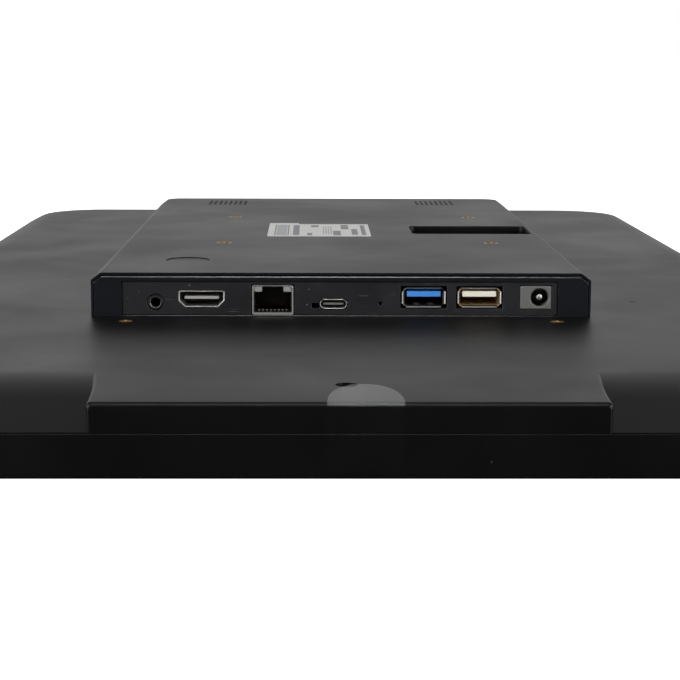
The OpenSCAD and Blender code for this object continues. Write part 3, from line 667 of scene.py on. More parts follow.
button_low, button_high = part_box("power_button")
button_x = (button_low.x + button_high.x) / 2
button_y = (button_low.y + button_high.y) / 2
BUTTON_R = 7.1 * MM
BUTTON_GAP = 0.3 * MM
pocket_low, pocket_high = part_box("pocket_liner")
POCKET_WALL = 1.2 * MM
pocket_half = ((pocket_high.x - pocket_low.x) / 2 - POCKET_WALL,
               (pocket_high.y - pocket_low.y) / 2 - POCKET_WALL)
pocket_mid = (pocket_low + pocket_high) / 2


def hole(x, y, radius, steps=48):
    """A tool for a round hole through the lid with a slightly broken rim."""
    profile = [(radius, box_top - 3 * MM), (radius, box_top - 0.15 * MM),
               (radius + 0.4 * MM, box_top + 0.25 * MM)]
    return turned("tool", profile, x, y, steps)


def pocket_ring(let_out, z):
    """The pocket's outline at one height, let out by that much."""
    half = (pocket_half[0] + let_out, pocket_half[1] + let_out)
    return [(x + pocket_mid.x, y + pocket_mid.y, z) for x, y, z in ring(half, 2.5 * MM + let_out, z, steps=8)]


tools = [rod(x, y, VESA_R, box_top - 6.5 * MM, box_top + 1 * MM) for x, y in vesa_points]
tools += [rod(x, y, PILOT_R, cover_low.z - 1 * MM, cover_low.z + 10 * MM, steps=16)
          for x, y in cover_points]
tools.append(hole(button_x, button_y, BUTTON_R + BUTTON_GAP, steps=72))
pocket_cut = [(0, -3 * MM), (0, -0.5 * MM), (0.15 * MM, -0.13 * MM), (0.5 * MM, 0.2 * MM)]
tools.append(build("tool", [pocket_ring(let_out, box_top + z) for let_out, z in pocket_cut]))
carve(box_cover, *tools)


def new_tree(name, inputs):
    """A geometry tree with those named inputs: it, its input node and its output node."""
    tree = bpy.data.node_groups.new(name, "GeometryNodeTree")
    tree.interface.new_socket("Geometry", in_out="OUTPUT", socket_type="NodeSocketGeometry")
    for label, kind in inputs.items():
        tree.interface.new_socket(label, in_out="INPUT", socket_type=kind)
    return tree, add(tree, "NodeGroupInput").outputs, add(tree, "NodeGroupOutput")


def from_tree(name, tree, **values):
    """The tree's result with those values, as a plain piece."""
    piece = bpy.data.objects.new(name, bpy.data.meshes.new(name))
    scene.collection.objects.link(piece)
    made = piece.modifiers.new("made", "NODES")
    made.node_group = tree
    for item in tree.interface.items_tree:
        if item.in_out == "INPUT":
            made[item.identifier] = values[item.name]
    return settle(piece)


# Rows and columns of one template, such as holes in a grille or inserts in a pattern.
pattern, given, result = new_tree("rows_and_columns", {
    "Template": "NodeSocketObject", "Columns": "NodeSocketInt", "Rows": "NodeSocketInt",
    "Width": "NodeSocketFloat", "Length": "NodeSocketFloat", "Middle": "NodeSocketVector",
    "Finish": "NodeSocketMaterial"})
grid = add(pattern, "GeometryNodeMeshGrid", {"Size X": given["Width"], "Size Y": given["Length"],
                                             "Vertices X": given["Columns"], "Vertices Y": given["Rows"]})
moved = add(pattern, "GeometryNodeTransform", {"Geometry": grid.outputs["Mesh"],
                                               "Translation": given["Middle"]})
shape = add(pattern, "GeometryNodeObjectInfo", {"Object": given["Template"]})
copies = add(pattern, "GeometryNodeInstanceOnPoints", {"Points": moved.outputs["Geometry"],
                                                       "Instance": shape.outputs["Geometry"]})
real = add(pattern, "GeometryNodeRealizeInstances", {"Geometry": copies.outputs["Instances"]})
painted = add(pattern, "GeometryNodeSetMaterial", {"Geometry": real.outputs["Geometry"],
                                                   "Material": given["Finish"]})
pattern.links.new(painted.outputs["Geometry"], result.inputs["Geometry"])


def repeat(name, template, columns, rows, width, length, centre, material):
    """Copies of a template in rows and columns, as one plain piece; the template is taken away."""
    piece = from_tree(name, pattern, Template=template, Columns=columns, Rows=rows, Width=width,
                      Length=length, Middle=centre, Finish=material)
    bpy.data.objects.remove(template)
    return piece


VENT_PITCH = 2.3 * MM
VENT_COLUMNS = 8
VENT_ROWS = 9
VENT_R = 0.75 * MM
SPEAKER_HALF = 15 * MM
speaker_low, speaker_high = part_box("speakers")
for x in (speaker_low.x + SPEAKER_HALF, speaker_high.x - SPEAKER_HALF):
    pin = rod(0, 0, VENT_R, -3 * MM, 1 * MM, steps=12)
    vent_middle = (x, (speaker_low.y + speaker_high.y) / 2, box_top)
    pins = repeat("tool", pin, VENT_COLUMNS, VENT_ROWS, VENT_PITCH * (VENT_COLUMNS - 1),
                  VENT_PITCH * (VENT_ROWS - 1), vent_middle, satin_black)
    carve(box_cover, pins)

# Semi-gloss black ABS, off a smooth face of the mould: a shade bluer, with reflections that wave
# over 5 mm and clouds 18 mm across. Its grain is drawn 0.4 mm wide, so that it shows.
bead_black, tree, shader, place = start("semi_gloss_black_ABS")
ripple = noise(tree, place, 5 * MM, 3)
wavy = bump(tree, ripple, 0.12 * MM)
grain = noise(tree, place, 0.4 * MM, 2)
fine = bump(tree, grain, 0.008 * MM, wavy)
cloud = noise(tree, place, 18 * MM, 4)
tone = blend(tree, cloud, linear("#101215"), linear("#181a1e"))
gloss = remap(tree, cloud, onto=(0.18, 0.3))
wire(tree, shader, tone, gloss, fine)

# The lid's narrow front rim takes the bezel's smoother, lighter black: as smooth as the bezel beside it, and
# a lighter colour that is painted light, so the rim reads dark grey, not black.
for face in box_cover.data.polygons:
    face.material_index = int(face.normal.y < -0.9 and face.center.y < cover_low.y + 0.05 * MM)
finish(box_cover, [satin_black, bead_black], "panel", "black_abs", "box_cover")


# ---- port bezel ----
# The black ABS end of the box: a frame round the port plate, with a glossy rounded edge along its top
# that is a little wavy, as a thin moulded bead is.
BEZEL_GAP = 0.05 * MM
BEAD = 1.3 * MM
SIDE_BEAD = 0.2
stations = [(bezel_low.y + BEAD * (1 - math.cos(a)), BEAD * (1 - math.sin(a))) for a in quarter]
stations.append((bezel_high.y, 0))
outset = LAP + BEZEL_GAP
sections = []
for y, back in stations:
    spread = (cover_high.x - outset - SIDE_BEAD * back) / (cover_high.x - outset - back)
    outline = front_outline(outset + back, cover_low.z, radius=0.5 * MM)
    sections.append([(x * spread, y, z) for x, z in outline])
port_bezel = build("port_bezel_frame", sections)
plate_low, plate_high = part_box("port_plate")
plate_mid = (plate_low + plate_high) / 2
plate_half = ((plate_high.x - plate_low.x) / 2, (plate_high.z - plate_low.z) / 2)
window_half = (plate_half[0] + 0.15 * MM, plate_half[1] + 0.1 * MM)


def across(mid, half_x, half_z, radius, steps=5):
    """A rounded rectangle in XZ about a point."""
    return [(mid.x + x, mid.z + z) for x, z, _ in ring((half_x, half_z), radius, 0, steps=steps)]


def rounded_bar(name, mid, half, radius, levels, steps=5):
    """A rounded bar along Y, drawn in by so much at each y."""
    return through(name, [(y, across(mid, half[0] - draw, half[1] - draw, radius, steps))
                          for y, draw in levels])


flare = [(bezel_low.y - 0.13 * MM, -0.4 * MM), (bezel_low.y + 0.13 * MM, 0), (bezel_high.y + 1 * MM, 0)]
carve(port_bezel, rounded_bar("tool", plate_mid, window_half, 0.4 * MM, flare))
finish(port_bezel, bead_black, "panel", "black_abs", "port_bezel", sharp=35)


# ---- port plate ----
# A dark grey ABS strip in the bezel's window, pierced for each socket and scuffed by plugs.
# Every opening has a slightly broken front edge.
METAL = 0.35 * MM
HDMI_HALF = (7.1 * MM, 2.35 * MM)
HDMI_FOOT_HALF = 5.2 * MM
broken_edge = [(plate_low.y - 0.25 * MM, 0.4 * MM), (plate_low.y + 0.15 * MM, 0), (plate_high.y + 1 * MM, 0)]


def punch(mid, half_x, half_z, radius, steps=5):
    """A tool for one opening in the port plate."""
    return through("tool", [(y, across(mid, half_x + wider, half_z + wider, radius + wider, steps))
                            for y, wider in broken_edge])


def soften(points, radius, steps=3):
    """A closed outline with its corners rounded."""
    return fillet([points[-1]] + points + [points[0]], radius, steps)[1:-1]


def hdmi_outline(o, radius):
    """The D shape of the HDMI mouth, let out by o."""
    half = [(HDMI_HALF[0] + o, HDMI_HALF[1] + o), (HDMI_HALF[0] + o, -0.5 * MM - 0.6 * o),
            (HDMI_FOOT_HALF + 0.6 * o, -HDMI_HALF[1] - o)]
    points = half + [(-x, z) for x, z in reversed(half)]
    return [(hdmi.x + x, hdmi_z + z) for x, z in soften(points, radius)]


audio = middle("audio_jack")
hdmi = middle("hdmi_shell")
ethernet = middle("ethernet_shell")
usb_c = middle("usb_c_shell")
dc = middle("dc_jack")
dc_bore = middle("dc_pin")
reset_hole = middle("reset_plunger")
notch = usb_c + Vector((-5.9, 0, -0.6)) * MM
hdmi_low, hdmi_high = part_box("hdmi_shell")
hdmi_z = hdmi_high.z - METAL - HDMI_HALF[1]
# Each round or square opening's middle, half width, half height and corner radius, in mm.
openings = [(audio, 2.75, 2.75, 2.75), (ethernet + Vector((0, 0, -1 * MM)), 7.1, 6.1, 0.3),
            (notch, 1.2, 0.85, 0.2), (usb_c, 4.85, 1.95, 1.95), (reset_hole, 0.6, 0.6, 0.6),
            (middle("usb3_shell"), 7.6, 3.7, 0.4), (middle("usb2_shell"), 7.6, 3.7, 0.4), (dc, 5.25, 4, 0.3)]
port_plate = rounded_bar("port_plate_strip", plate_mid, plate_half, 0.3 * MM, [
    (plate_low.y, 0.2 * MM), (plate_low.y + 0.2 * MM, 0), (plate_high.y, 0)])
carve(port_plate, *[punch(mid, x * MM, z * MM, r * MM, 8 if r > 1 else 3) for mid, x, z, r in openings],
      through("tool", [(y, hdmi_outline(METAL + 0.12 * MM + wider, 0.5 * MM)) for y, wider in broken_edge]))

# Satin ABS with plug scuffs: thin pale scratches about 6 mm long and a few bright specks of dust,
# over 9 mm clouds. Its grain is drawn 0.35 mm wide, so that it shows.
scuffed_grey, tree, shader, place = start("satin_dark_grey_ABS")
grain = noise(tree, place, 0.35 * MM, 3)
cloud = noise(tree, place, 9 * MM, 5)
slant = add(tree, "ShaderNodeMapping", {"Vector": place, "Rotation": (0, 0.9, 0), "Scale": (1, 1, 14)})
scratch = noise(tree, slant.outputs["Vector"], 6 * MM, 2)
scratched = remap(tree, scratch, (0.69, 0.74), (0, 0.3))
dust = add(tree, "ShaderNodeTexVoronoi", {"Vector": place, "Scale": 1 / (4 * MM)})
speck = remap(tree, dust.outputs["Distance"], (0.03, 0.05), (0.8, 0))
tone = blend(tree, cloud, linear("#141416"), linear("#1f1f22"))
worn = blend(tree, scratched, tone, linear("#6f6e70"))
dusty = blend(tree, speck, worn, linear("#8d8c89"))
gloss = remap(tree, cloud, onto=(0.36, 0.5))
relief = bump(tree, grain, 0.015 * MM)
wire(tree, shader, dusty, gloss, relief)
finish(port_plate, scuffed_grey, "panel", "plate_plastic", "port_plate")


# ---- audio jack ----
# A black moulded socket soldered behind the plate. Its round collar fills the hole in the plate,
# and a thin nickel ring lines the mouth of the bore.
AUDIO_BORE = 1.78 * MM
AUDIO_RING = 1.94 * MM
COLLAR_R = 2.5 * MM

# Glass-filled PBT, moulded: a plain satin black, a shade lighter than the shell.
moulded_black = moulded("black_PBT", "#0d0d0d", 0.42, grain=0.3, depth=0.008, marks=0)
# Nickel plate over stamped steel: a pale warm silver with a soft sheen.
nickel = coated("nickel_plated_steel", "#d2d1cc", 0.42)


def lathe(name, mid, profile, steps=48, closed=False):
    """A piece turned about an axis along Y, from (radius, y) points."""
    angles = [math.tau * i / steps for i in range(steps)]
    return build(name, [[(mid.x + r * math.cos(a), y, mid.z + r * math.sin(a)) for a in angles]
                        for r, y in profile], closed)


audio_low, audio_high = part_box("audio_jack")
rim = audio_low.y
audio_jack = lathe("audio_jack_body", audio, [
    (COLLAR_R, plate_high.y + 0.5 * MM), (COLLAR_R, rim + 0.2 * MM), (COLLAR_R - 0.2 * MM, rim),
    (AUDIO_RING, rim), (AUDIO_RING - 0.05 * MM, rim + 0.1 * MM)])
carve(audio_jack, block(audio_low.x, audio_high.x, plate_high.y + 0.1 * MM, audio_high.y,
                        audio.z - 2.3 * MM, audio.z + 2 * MM), operation="UNION")
carve(audio_jack, lathe("tool", audio, [(AUDIO_RING, rim - 1 * MM), (AUDIO_RING, rim + 3 * MM)]))
carve(audio_jack, lathe("tool", audio, [(AUDIO_BORE, rim - 1 * MM), (AUDIO_BORE, audio_high.y - 2 * MM)]))
liner = [(AUDIO_RING - 0.02 * MM, rim + 2.9 * MM), (AUDIO_RING - 0.02 * MM, rim + 0.12 * MM),
         (AUDIO_RING - 0.12 * MM, rim + 0.02 * MM), (AUDIO_BORE + 0.1 * MM, rim + 0.02 * MM),
         (AUDIO_BORE, rim + 0.12 * MM), (AUDIO_BORE, rim + 2.9 * MM)]
audio_ring = lathe("tool", audio, liner, closed=True)


def join(piece, *others):
    """Adds the others' meshes to the piece, each with the next finish of its list."""
    shape = bmesh.new()
    shape.from_mesh(piece.data)
    for face in shape.faces:
        face.material_index = 0
    for i, other in enumerate(others, 1):
        known = set(shape.faces)
        shape.from_mesh(other.data)
        for face in set(shape.faces) - known:
            face.material_index = i
        bpy.data.objects.remove(other)
    shape.to_mesh(piece.data)
    shape.free()
    return piece


finish(join(audio_jack, audio_ring), [moulded_black, nickel], "panel", "dark_plastic", "audio_jack")


# ---- HDMI socket ----
# A folded nickel-plated shell with a bright rolled rim, round a pale grey tongue with gold contacts
# on both of its faces.
CONTACT_HALF = 0.22 * MM
CONTACT_LENGTH = 7 * MM
CONTACT_THICK = 0.05 * MM
CONTACT_STEP = 1 * MM
mouth = hdmi_low.y

# A thin flash of gold over nickel: a soft yellow with little shine.
gold = coated("gold_flash_contacts", "#dcb874", 0.45)


def sleeve(name, stations):
    """A folded metal tube along Y, closed on itself from outlines with their y."""
    return build(name, [[(x, y, z) for x, z in outline] for y, outline in stations], closed=True)


def rimmed(name, outline, outer, inner, back, front):
    """A tube between two let-outs of an outline, its front edge a full round, as rolled metal has."""
    r = (outer - inner) / 2
    rolled = [(front + r * (1 - math.sin(a)), outline(inner + r + r * math.cos(a)))
              for a in [math.radians(b) for b in range(0, 181, 30)]]
    return sleeve(name, [(back, outline(outer))] + rolled + [(back, outline(inner))])


def hdmi_tube(o):
    """The HDMI shell's outline let out by o, its corners rounder outside than inside."""
    return hdmi_outline(o, 0.4 * MM + 0.8 * o)


hdmi_shell = rimmed("hdmi_shell_rim", hdmi_tube, METAL, 0, hdmi_high.y, mouth)
finish(hdmi_shell, nickel, "panel", "nickel_shell", "hdmi_shell")

back_block = through("hdmi_insert_body", [(y, hdmi_outline(-0.05 * MM, 0.35 * MM))
                                          for y in (mouth + 8.5 * MM, mouth + 11.8 * MM)])
bar_mid = Vector((hdmi.x, 0, hdmi_z + 0.35 * MM))
hdmi_bar = rounded_bar("tool", bar_mid, (5.6 * MM, 0.475 * MM), 0.12 * MM, [
    (mouth + 1 * MM, 0.15 * MM), (mouth + 1.2 * MM, 0), (mouth + 9 * MM, 0)], steps=2)
above = block(-CONTACT_HALF, CONTACT_HALF, 0, CONTACT_LENGTH, 0, CONTACT_THICK)
below = block(-CONTACT_HALF, CONTACT_HALF, 0, CONTACT_LENGTH, -CONTACT_THICK, 0)
pin_top = repeat("tool", above, 10, 1, 9 * CONTACT_STEP, 0,
                 (hdmi.x, mouth + 1.3 * MM, bar_mid.z + 0.46 * MM), gold)
pin_under = repeat("tool", below, 9, 1, 8 * CONTACT_STEP, 0,
                   (hdmi.x, mouth + 1.3 * MM, bar_mid.z - 0.46 * MM), gold)
# Liquid-crystal polymer, moulded thin: a flat pale grey.
pale_lcp = moulded("pale_grey_LCP", "#8c8d8c", 0.4, grain=0.3, depth=0.006, marks=0)
finish(join(back_block, hdmi_bar, pin_top, pin_under), [moulded_black, pale_lcp, gold, gold], "panel",
       "dark_plastic", "hdmi_insert")


# ---- Ethernet socket ----
# A tinned steel can with a black moulding inside: a T-shaped opening for the plug and its latch,
# eight gold contact springs on the floor, and clear light pipes in the two top corners.
can_low, can_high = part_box("ethernet_shell")
can_half = ((can_high.x - can_low.x) / 2, (can_high.z - can_low.z) / 2)


def can_outline(draw):
    """The can's outline drawn in by that much."""
    return across(ethernet, can_half[0] - draw, can_half[1] - draw, max(0.15 * MM, 0.6 * MM - draw), 3)


lip_mid = ethernet + Vector((0, 0, 0.28 * MM))
folded = across(lip_mid, can_half[0] - 0.5 * MM, can_half[1] - 0.63 * MM, 0.2 * MM, 3)
can = sleeve("ethernet_can", [
    (can_high.y, can_outline(0)), (mouth + 0.2 * MM, can_outline(0)), (mouth, can_outline(0.15 * MM)),
    (mouth, folded), (mouth + 0.27 * MM, folded),
    (mouth + 0.29 * MM, can_outline(METAL)), (can_high.y, can_outline(METAL))])
carve(can, block(ethernet.x - 3 * MM, ethernet.x + 3 * MM, mouth - 0.5 * MM, mouth + 0.8 * MM,
                 ethernet.z + 4.25 * MM, ethernet.z + 6 * MM))
# Matt tin over steel: a dull silver with hardly any sheen.
matt_tin = coated("matt_tinned_steel", "#bdbdba", 0.56)
finish(can, matt_tin, "panel", "nickel_shell", "ethernet_shell")

PIPE_HALF = (1.35 * MM, 0.85 * MM)
PIPE_OFF = (4.85 * MM, 3.6 * MM)
PIPE_PLAY = 0.05 * MM
PLUG_HALF = 5.85 * MM
LATCH_HALF = 3.3 * MM
body_low, body_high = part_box("ethernet_body")
jack_body = block(body_low.x, body_high.x, body_low.y, body_high.y,
                  ethernet.z - 4.5 * MM, ethernet.z + 4.5 * MM)
jack_body.name = "ethernet_moulding"
deep = mouth + 13 * MM
sockets = [block(ethernet.x - PLUG_HALF, ethernet.x + PLUG_HALF, mouth - 1 * MM, deep,
                 ethernet.z - 3.8 * MM, ethernet.z + 2.7 * MM),
           block(ethernet.x - LATCH_HALF, ethernet.x + LATCH_HALF, mouth - 1 * MM, deep,
                 ethernet.z + 2 * MM, ethernet.z + 4.3 * MM)]
carve(jack_body, *sockets)
seat_half = (PIPE_HALF[0] + PIPE_PLAY, PIPE_HALF[1] + PIPE_PLAY)
carve(jack_body, *[block(ethernet.x + (side * PIPE_OFF[0] - seat_half[0]),
                         ethernet.x + (side * PIPE_OFF[0] + seat_half[0]), mouth - 1 * MM, mouth + 10 * MM,
                         ethernet.z + (PIPE_OFF[1] - seat_half[1]),
                         ethernet.z + (PIPE_OFF[1] + seat_half[1])) for side in (-1, 1)])
finish(jack_body, moulded_black, "panel", "dark_plastic", "ethernet_body", edge=0.08 * MM)

CONTACT_PITCH = 1.27 * MM
SPRING_HALF = 0.25 * MM
# Along one spring: how far back, the height of its underside, and its thickness, in mm.
SPRING_BENDS = [(0.02, 0.42, 0.35), (0.3, 0.3, 0.5), (0.7, 0.02, 0.45), (1.6, -0.3, 0.32), (10, -0.35, 0.32)]
stations = []
for back, under, thick in SPRING_BENDS:
    low = under * MM
    high = under * MM + thick * MM
    section = [(-SPRING_HALF, low), (SPRING_HALF, low), (SPRING_HALF, high), (-SPRING_HALF, high)]
    stations.append((back * MM, section))
spring = through("tool", stations)
contacts_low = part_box("ethernet_contacts")[0]
# Gold flash painted paler and brighter: a painted highlight, standing in for the light that the springs' bent
# tops catch.
gold_painted_highlight = coated("gold_flash_springs_painted_highlight", "#efe6cc", 0.4)
contacts = repeat("ethernet_springs", spring, 8, 1, 7 * CONTACT_PITCH, 0,
                  (ethernet.x, contacts_low.y, contacts_low.z), gold_painted_highlight)
finish(contacts, gold_painted_highlight, "panel", "gold_contact", "ethernet_contacts")

# Clear polycarbonate: pale and glossy, with 1.5 mm clouds of light scattered inside it.
clear_pipe, tree, shader, place = start("clear_polycarbonate_light_pipe")
haze = noise(tree, place, 1.5 * MM, 3)
tone = blend(tree, haze, linear("#8f908b"), linear("#b9bab4"))
gloss = remap(tree, haze, onto=(0.12, 0.3))
wire(tree, shader, tone, gloss)
shader.inputs["Transmission Weight"].default_value = 0.35
shader.inputs["IOR"].default_value = 1.58
pipes_low, pipes_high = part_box("ethernet_light_pipes")
light_pipe = rounded_bar("tool", Vector(), PIPE_HALF, 0.25 * MM, [
    (0, 0.2 * MM), (0.15 * MM, 0), (pipes_high.y - pipes_low.y, 0)], steps=3)
pipes = repeat("light_pipes", light_pipe, 2, 1, 2 * PIPE_OFF[0], 0,
               (ethernet.x, pipes_low.y, ethernet.z + PIPE_OFF[1]), clear_pipe)
finish(pipes, clear_pipe, "panel", "clear_light_pipe", "ethernet_light_pipes")


# ---- USB-C socket ----
# A drawn nickel-plated shell with a stadium mouth and a rolled rim.
# A thin grey tongue with twelve gold pads on each face stands in the middle of it.
PAD_HALF = (0.13 * MM, 0.02 * MM)
PAD_LENGTH = 4 * MM
PAD_STEP = 0.5 * MM
TONGUE_HALF = (3.3 * MM, 0.35 * MM)
STADIUM_HALF = (4.15 * MM, 1.3 * MM)
c_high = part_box("usb_c_shell")[1]


def stadium(o):
    """The USB-C mouth let out by o."""
    return across(usb_c, STADIUM_HALF[0] + o, STADIUM_HALF[1] + o, STADIUM_HALF[1] + o, 8)


usb_c_shell = rimmed("usb_c_shell_rim", stadium, 0.32 * MM, 0, c_high.y, mouth)
finish(usb_c_shell, nickel, "panel", "nickel_shell", "usb_c_shell")
tongue_c = through("usb_c_tongue_body", [(y, stadium(-0.05 * MM))
                                         for y in (mouth + 7 * MM, mouth + 8.5 * MM)])
blade_c = rounded_bar("tool", usb_c, TONGUE_HALF, 0.1 * MM, [
    (mouth + 0.7 * MM, 0.12 * MM), (mouth + 0.9 * MM, 0), (mouth + 7.4 * MM, 0)], steps=2)
carve(tongue_c, blade_c, operation="UNION")
pads = []
for side in (-1, 1):
    pad = block(-PAD_HALF[0], PAD_HALF[0], 0, PAD_LENGTH, -PAD_HALF[1], PAD_HALF[1])
    face_middle = (usb_c.x, mouth + 1.1 * MM, usb_c.z + side * TONGUE_HALF[1])
    pads.append(repeat("tool", pad, 12, 1, 11 * PAD_STEP, 0, face_middle, gold))
# Liquid-crystal polymer, moulded thin: a flat mid grey.
grey_lcp = moulded("mid_grey_LCP", "#5c5d5e", 0.4, grain=0.3, depth=0.006, marks=0)
finish(join(tongue_c, *pads), [grey_lcp, gold, gold], "panel", "dark_plastic", "usb_c_tongue")


# ---- USB-A sockets ----
# Folded nickel-plated shells whose four front lips flare out and leave gaps at the corners.
# Spring tabs press inwards top and bottom. The tongue is blue in one socket and cream in the other.
USB_HALF = (6.6 * MM, 2.9 * MM)
# The lip's bright rim ends this far behind the mouth, and the darker step of painted shade behind it this
# far.
LIP_RIM = 0.4 * MM
LIP_DEPTH = 0.75 * MM
# A tongue's blade: its half width and half height, and how far it lies above the socket's middle.
BLADE_HALF = (5.55 * MM, 0.92 * MM)
BLADE_RISE = 1.05 * MM

# Painted shade inside the tubes: darker nickel for the inner walls and the step behind the rim. The second
# socket's inner walls are warm instead, a painted reflection of the cream tongue.
nickel_painted_shade = coated("nickel_inside_painted_shade", "#4c4a47", 0.35)
nickel_painted_warm_reflection = coated("nickel_inside_painted_warm_reflection", "#e6c895", 0.5)


def usb_outline(mid, grow_x, grow_z):
    """The tube's outline let out by that much each way."""
    return across(mid, USB_HALF[0] + grow_x, USB_HALF[1] + grow_z, max(0.2 * MM, 0.55 * MM + grow_z), 3)


def usb_shell(node, name, inner):
    """One shell with its lips and spring tabs."""
    low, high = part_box(node)
    mid = (low + high) / 2
    lip_x = (high.x - low.x) / 2 - USB_HALF[0]
    lip_z = (high.z - low.z) / 2 - USB_HALF[1]
    tube = usb_outline(mid, 0, 0)
    lip = usb_outline(mid, lip_x, lip_z)
    lining = usb_outline(mid, -METAL, -METAL)
    shell = sleeve(name, [
        (high.y, tube), (mouth + 0.85 * MM, tube),
        (mouth + 0.45 * MM, usb_outline(mid, 0.3 * lip_x, 0.3 * lip_z)),
        (mouth + 0.2 * MM, lip), (mouth, lip),
        (mouth + 0.02 * MM, usb_outline(mid, lip_x - 0.12 * MM, lip_z - 0.12 * MM)),
        (mouth + 0.3 * MM, usb_outline(mid, 0.12 * MM, 0)), (mouth + LIP_DEPTH, lining), (high.y, lining)])
    gaps = [block(mid.x + sx * 5.7 * MM, mid.x + sx * 7.5 * MM, mouth - 0.3 * MM, mouth + LIP_DEPTH,
                  mid.z + sz * 2.05 * MM, mid.z + sz * 3.6 * MM) for sx in (-1, 1) for sz in (-1, 1)]
    carve(shell, *gaps)
    bend = [(1.5 * MM, 2.6), (4 * MM, 2.28), (5 * MM, 2.28), (7 * MM, 2.6)]
    strip = [(-0.9 * MM, 0), (0.9 * MM, 0), (0.9 * MM, 0.15), (-0.9 * MM, 0.15)]
    tabs = []
    for side in (-1, 1):
        template = through("tool", [(mouth + y, [(x, side * (z + thick) * MM) for x, thick in strip])
                                    for y, z in bend])
        tabs.append(repeat("tool", template, 2, 1, 4.6 * MM, 0, (mid.x, 0, mid.z), nickel))
    join(shell, *tabs)
    # The tube's inward faces behind the bright rim get painted shade: a darker step, then the inner walls,
    # which are warm in the cream socket as a painted reflection.
    for face in shell.data.polygons:
        inward = Vector((mid.x - face.center.x, 0, mid.z - face.center.z))
        if face.material_index == 0 and face.normal.dot(inward) > 0 and face.center.y > mouth + LIP_RIM:
            face.material_index = 3 if face.center.y > mouth + LIP_DEPTH else 4
    return finish(shell, [nickel, nickel, nickel, inner, nickel_painted_shade], "panel", "nickel_shell", node)


def usb_tongue(node, name, plastic, back, material_slot):
    """One tongue on the dark block that fills the back of its shell, with contacts underneath."""
    low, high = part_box(node)
    mid = (low + high) / 2
    blade_mid = Vector((mid.x, 0, mid.z + BLADE_RISE))
    moulding = through(name, [(y, usb_outline(mid, -METAL - 0.05 * MM, -METAL - 0.05 * MM))
                              for y in (mouth + 13 * MM, high.y)])
    blade = rounded_bar("tool", blade_mid, BLADE_HALF, 0.2 * MM, [
        (low.y, 0.15 * MM), (low.y + 0.2 * MM, 0), (mouth + 13.1 * MM, 0)], steps=3)
    strip = block(-0.5 * MM, 0.5 * MM, 0, 7 * MM, -0.06 * MM, 0.04 * MM)
    strips = repeat("tool", strip, 4, 1, 7 * MM, 0,
                    (mid.x, low.y + 1 * MM, blade_mid.z - BLADE_HALF[1]), gold)
    return finish(join(moulding, blade, strips), [back, plastic, gold], "panel", material_slot, node)


# Inner walls in painted shade, and in the cream socket a painted warm reflection instead.
usb_shell("usb3_shell", "usb3_shell_folded", nickel_painted_shade)
usb_shell("usb2_shell", "usb2_shell_folded", nickel_painted_warm_reflection)
# Coloured PBT, moulded: plain satin blue and cream, and a dark brown for the block behind the cream, which is
# a painted warm reflection in that socket's cavity.
blue_pbt = moulded("blue_PBT", "#3a76bb", 0.38, grain=0.3, depth=0.006, marks=0)
cream_pbt = moulded("cream_PBT", "#ccc9b9", 0.4, grain=0.3, depth=0.006, marks=0)
brown_pbt_painted_reflection = moulded("brown_PBT_painted_reflection", "#42372a", 0.45, grain=0.3, depth=0.006, marks=0)
usb_tongue("usb3_tongue", "usb3_tongue_blue", blue_pbt, moulded_black, "blue_plastic")
# The cream socket's back block is painted dark brown, a painted warm reflection.
usb_tongue("usb2_tongue", "usb2_tongue_cream", cream_pbt, brown_pbt_painted_reflection, "cream_plastic")


# ---- DC jack ----
# A grey moulded power socket, soldered behind the plate. Its round bore is chamfered at the mouth,
# with a nickel-plated pin on its axis.
DC_BORE = 2.95 * MM

# Mid grey PBT: plain satin, a little rougher than the black.
grey_pbt = moulded("grey_PBT", "#575855", 0.45, grain=0.3, depth=0.01, marks=0)
dc_low, dc_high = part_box("dc_jack")
dc_half = ((dc_high.x - dc_low.x) / 2, (dc_high.z - dc_low.z) / 2)
dc_jack = rounded_bar("dc_jack_body", dc, dc_half, 0.4 * MM, [
    (mouth, 0.3 * MM), (mouth + 0.3 * MM, 0), (dc_high.y, 0)], steps=3)
carve(dc_jack, lathe("tool", dc_bore, [(DC_BORE + 0.5 * MM, mouth - 0.1 * MM), (DC_BORE, mouth + 0.4 * MM),
                                       (DC_BORE, mouth + 9.5 * MM)]))
finish(dc_jack, grey_pbt, "panel", "grey_plastic", "dc_jack")
pin_low, pin_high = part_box("dc_pin")
pin_r = (pin_high.x - pin_low.x) / 2
tip = [(pin_r * math.sin(a) * 0.98 + 0.02 * pin_r, pin_low.y + 0.5 * MM * (1 - math.cos(a))) for a in quarter]
dc_pin = lathe("dc_jack_pin", dc_bore, tip + [(pin_r, pin_high.y)], steps=32)
finish(dc_pin, nickel, "panel", "nickel_shell", "dc_pin")


# ---- power button ----
# A black ABS cap in a round hole: its top is slightly dished and its edge rounded.
# It presses straight down on the switch under it and springs back.
STEM_R = 2 * MM
FLANGE_R = BUTTON_R + 1.2 * MM
CAP_ROUND = 0.3 * MM
DISH = 0.1 * MM
RECESS = 0.25 * MM
flange_low = box_top - SKIN - 1.1 * MM
flange_high = flange_low + 1 * MM
button_profile = [(STEM_R, button_low.z), (STEM_R, flange_low), (FLANGE_R, flange_low),
                  (FLANGE_R, flange_high), (BUTTON_R, flange_high)]
cap_top = box_top - RECESS
button_profile += [(BUTTON_R - CAP_ROUND * (1 - math.cos(a)), cap_top - CAP_ROUND * (1 - math.sin(a)))
                   for a in quarter]
button_profile += [(BUTTON_R * t, cap_top - DISH * (1 - t * t))
                   for t in (0.9, 0.75, 0.6, 0.45, 0.3, 0.15, 0.02)]
cap = turned("power_button_cap", button_profile, button_x, button_y, steps=72)
finish(cap, satin_black, "power_key", "black_abs", "power_button")


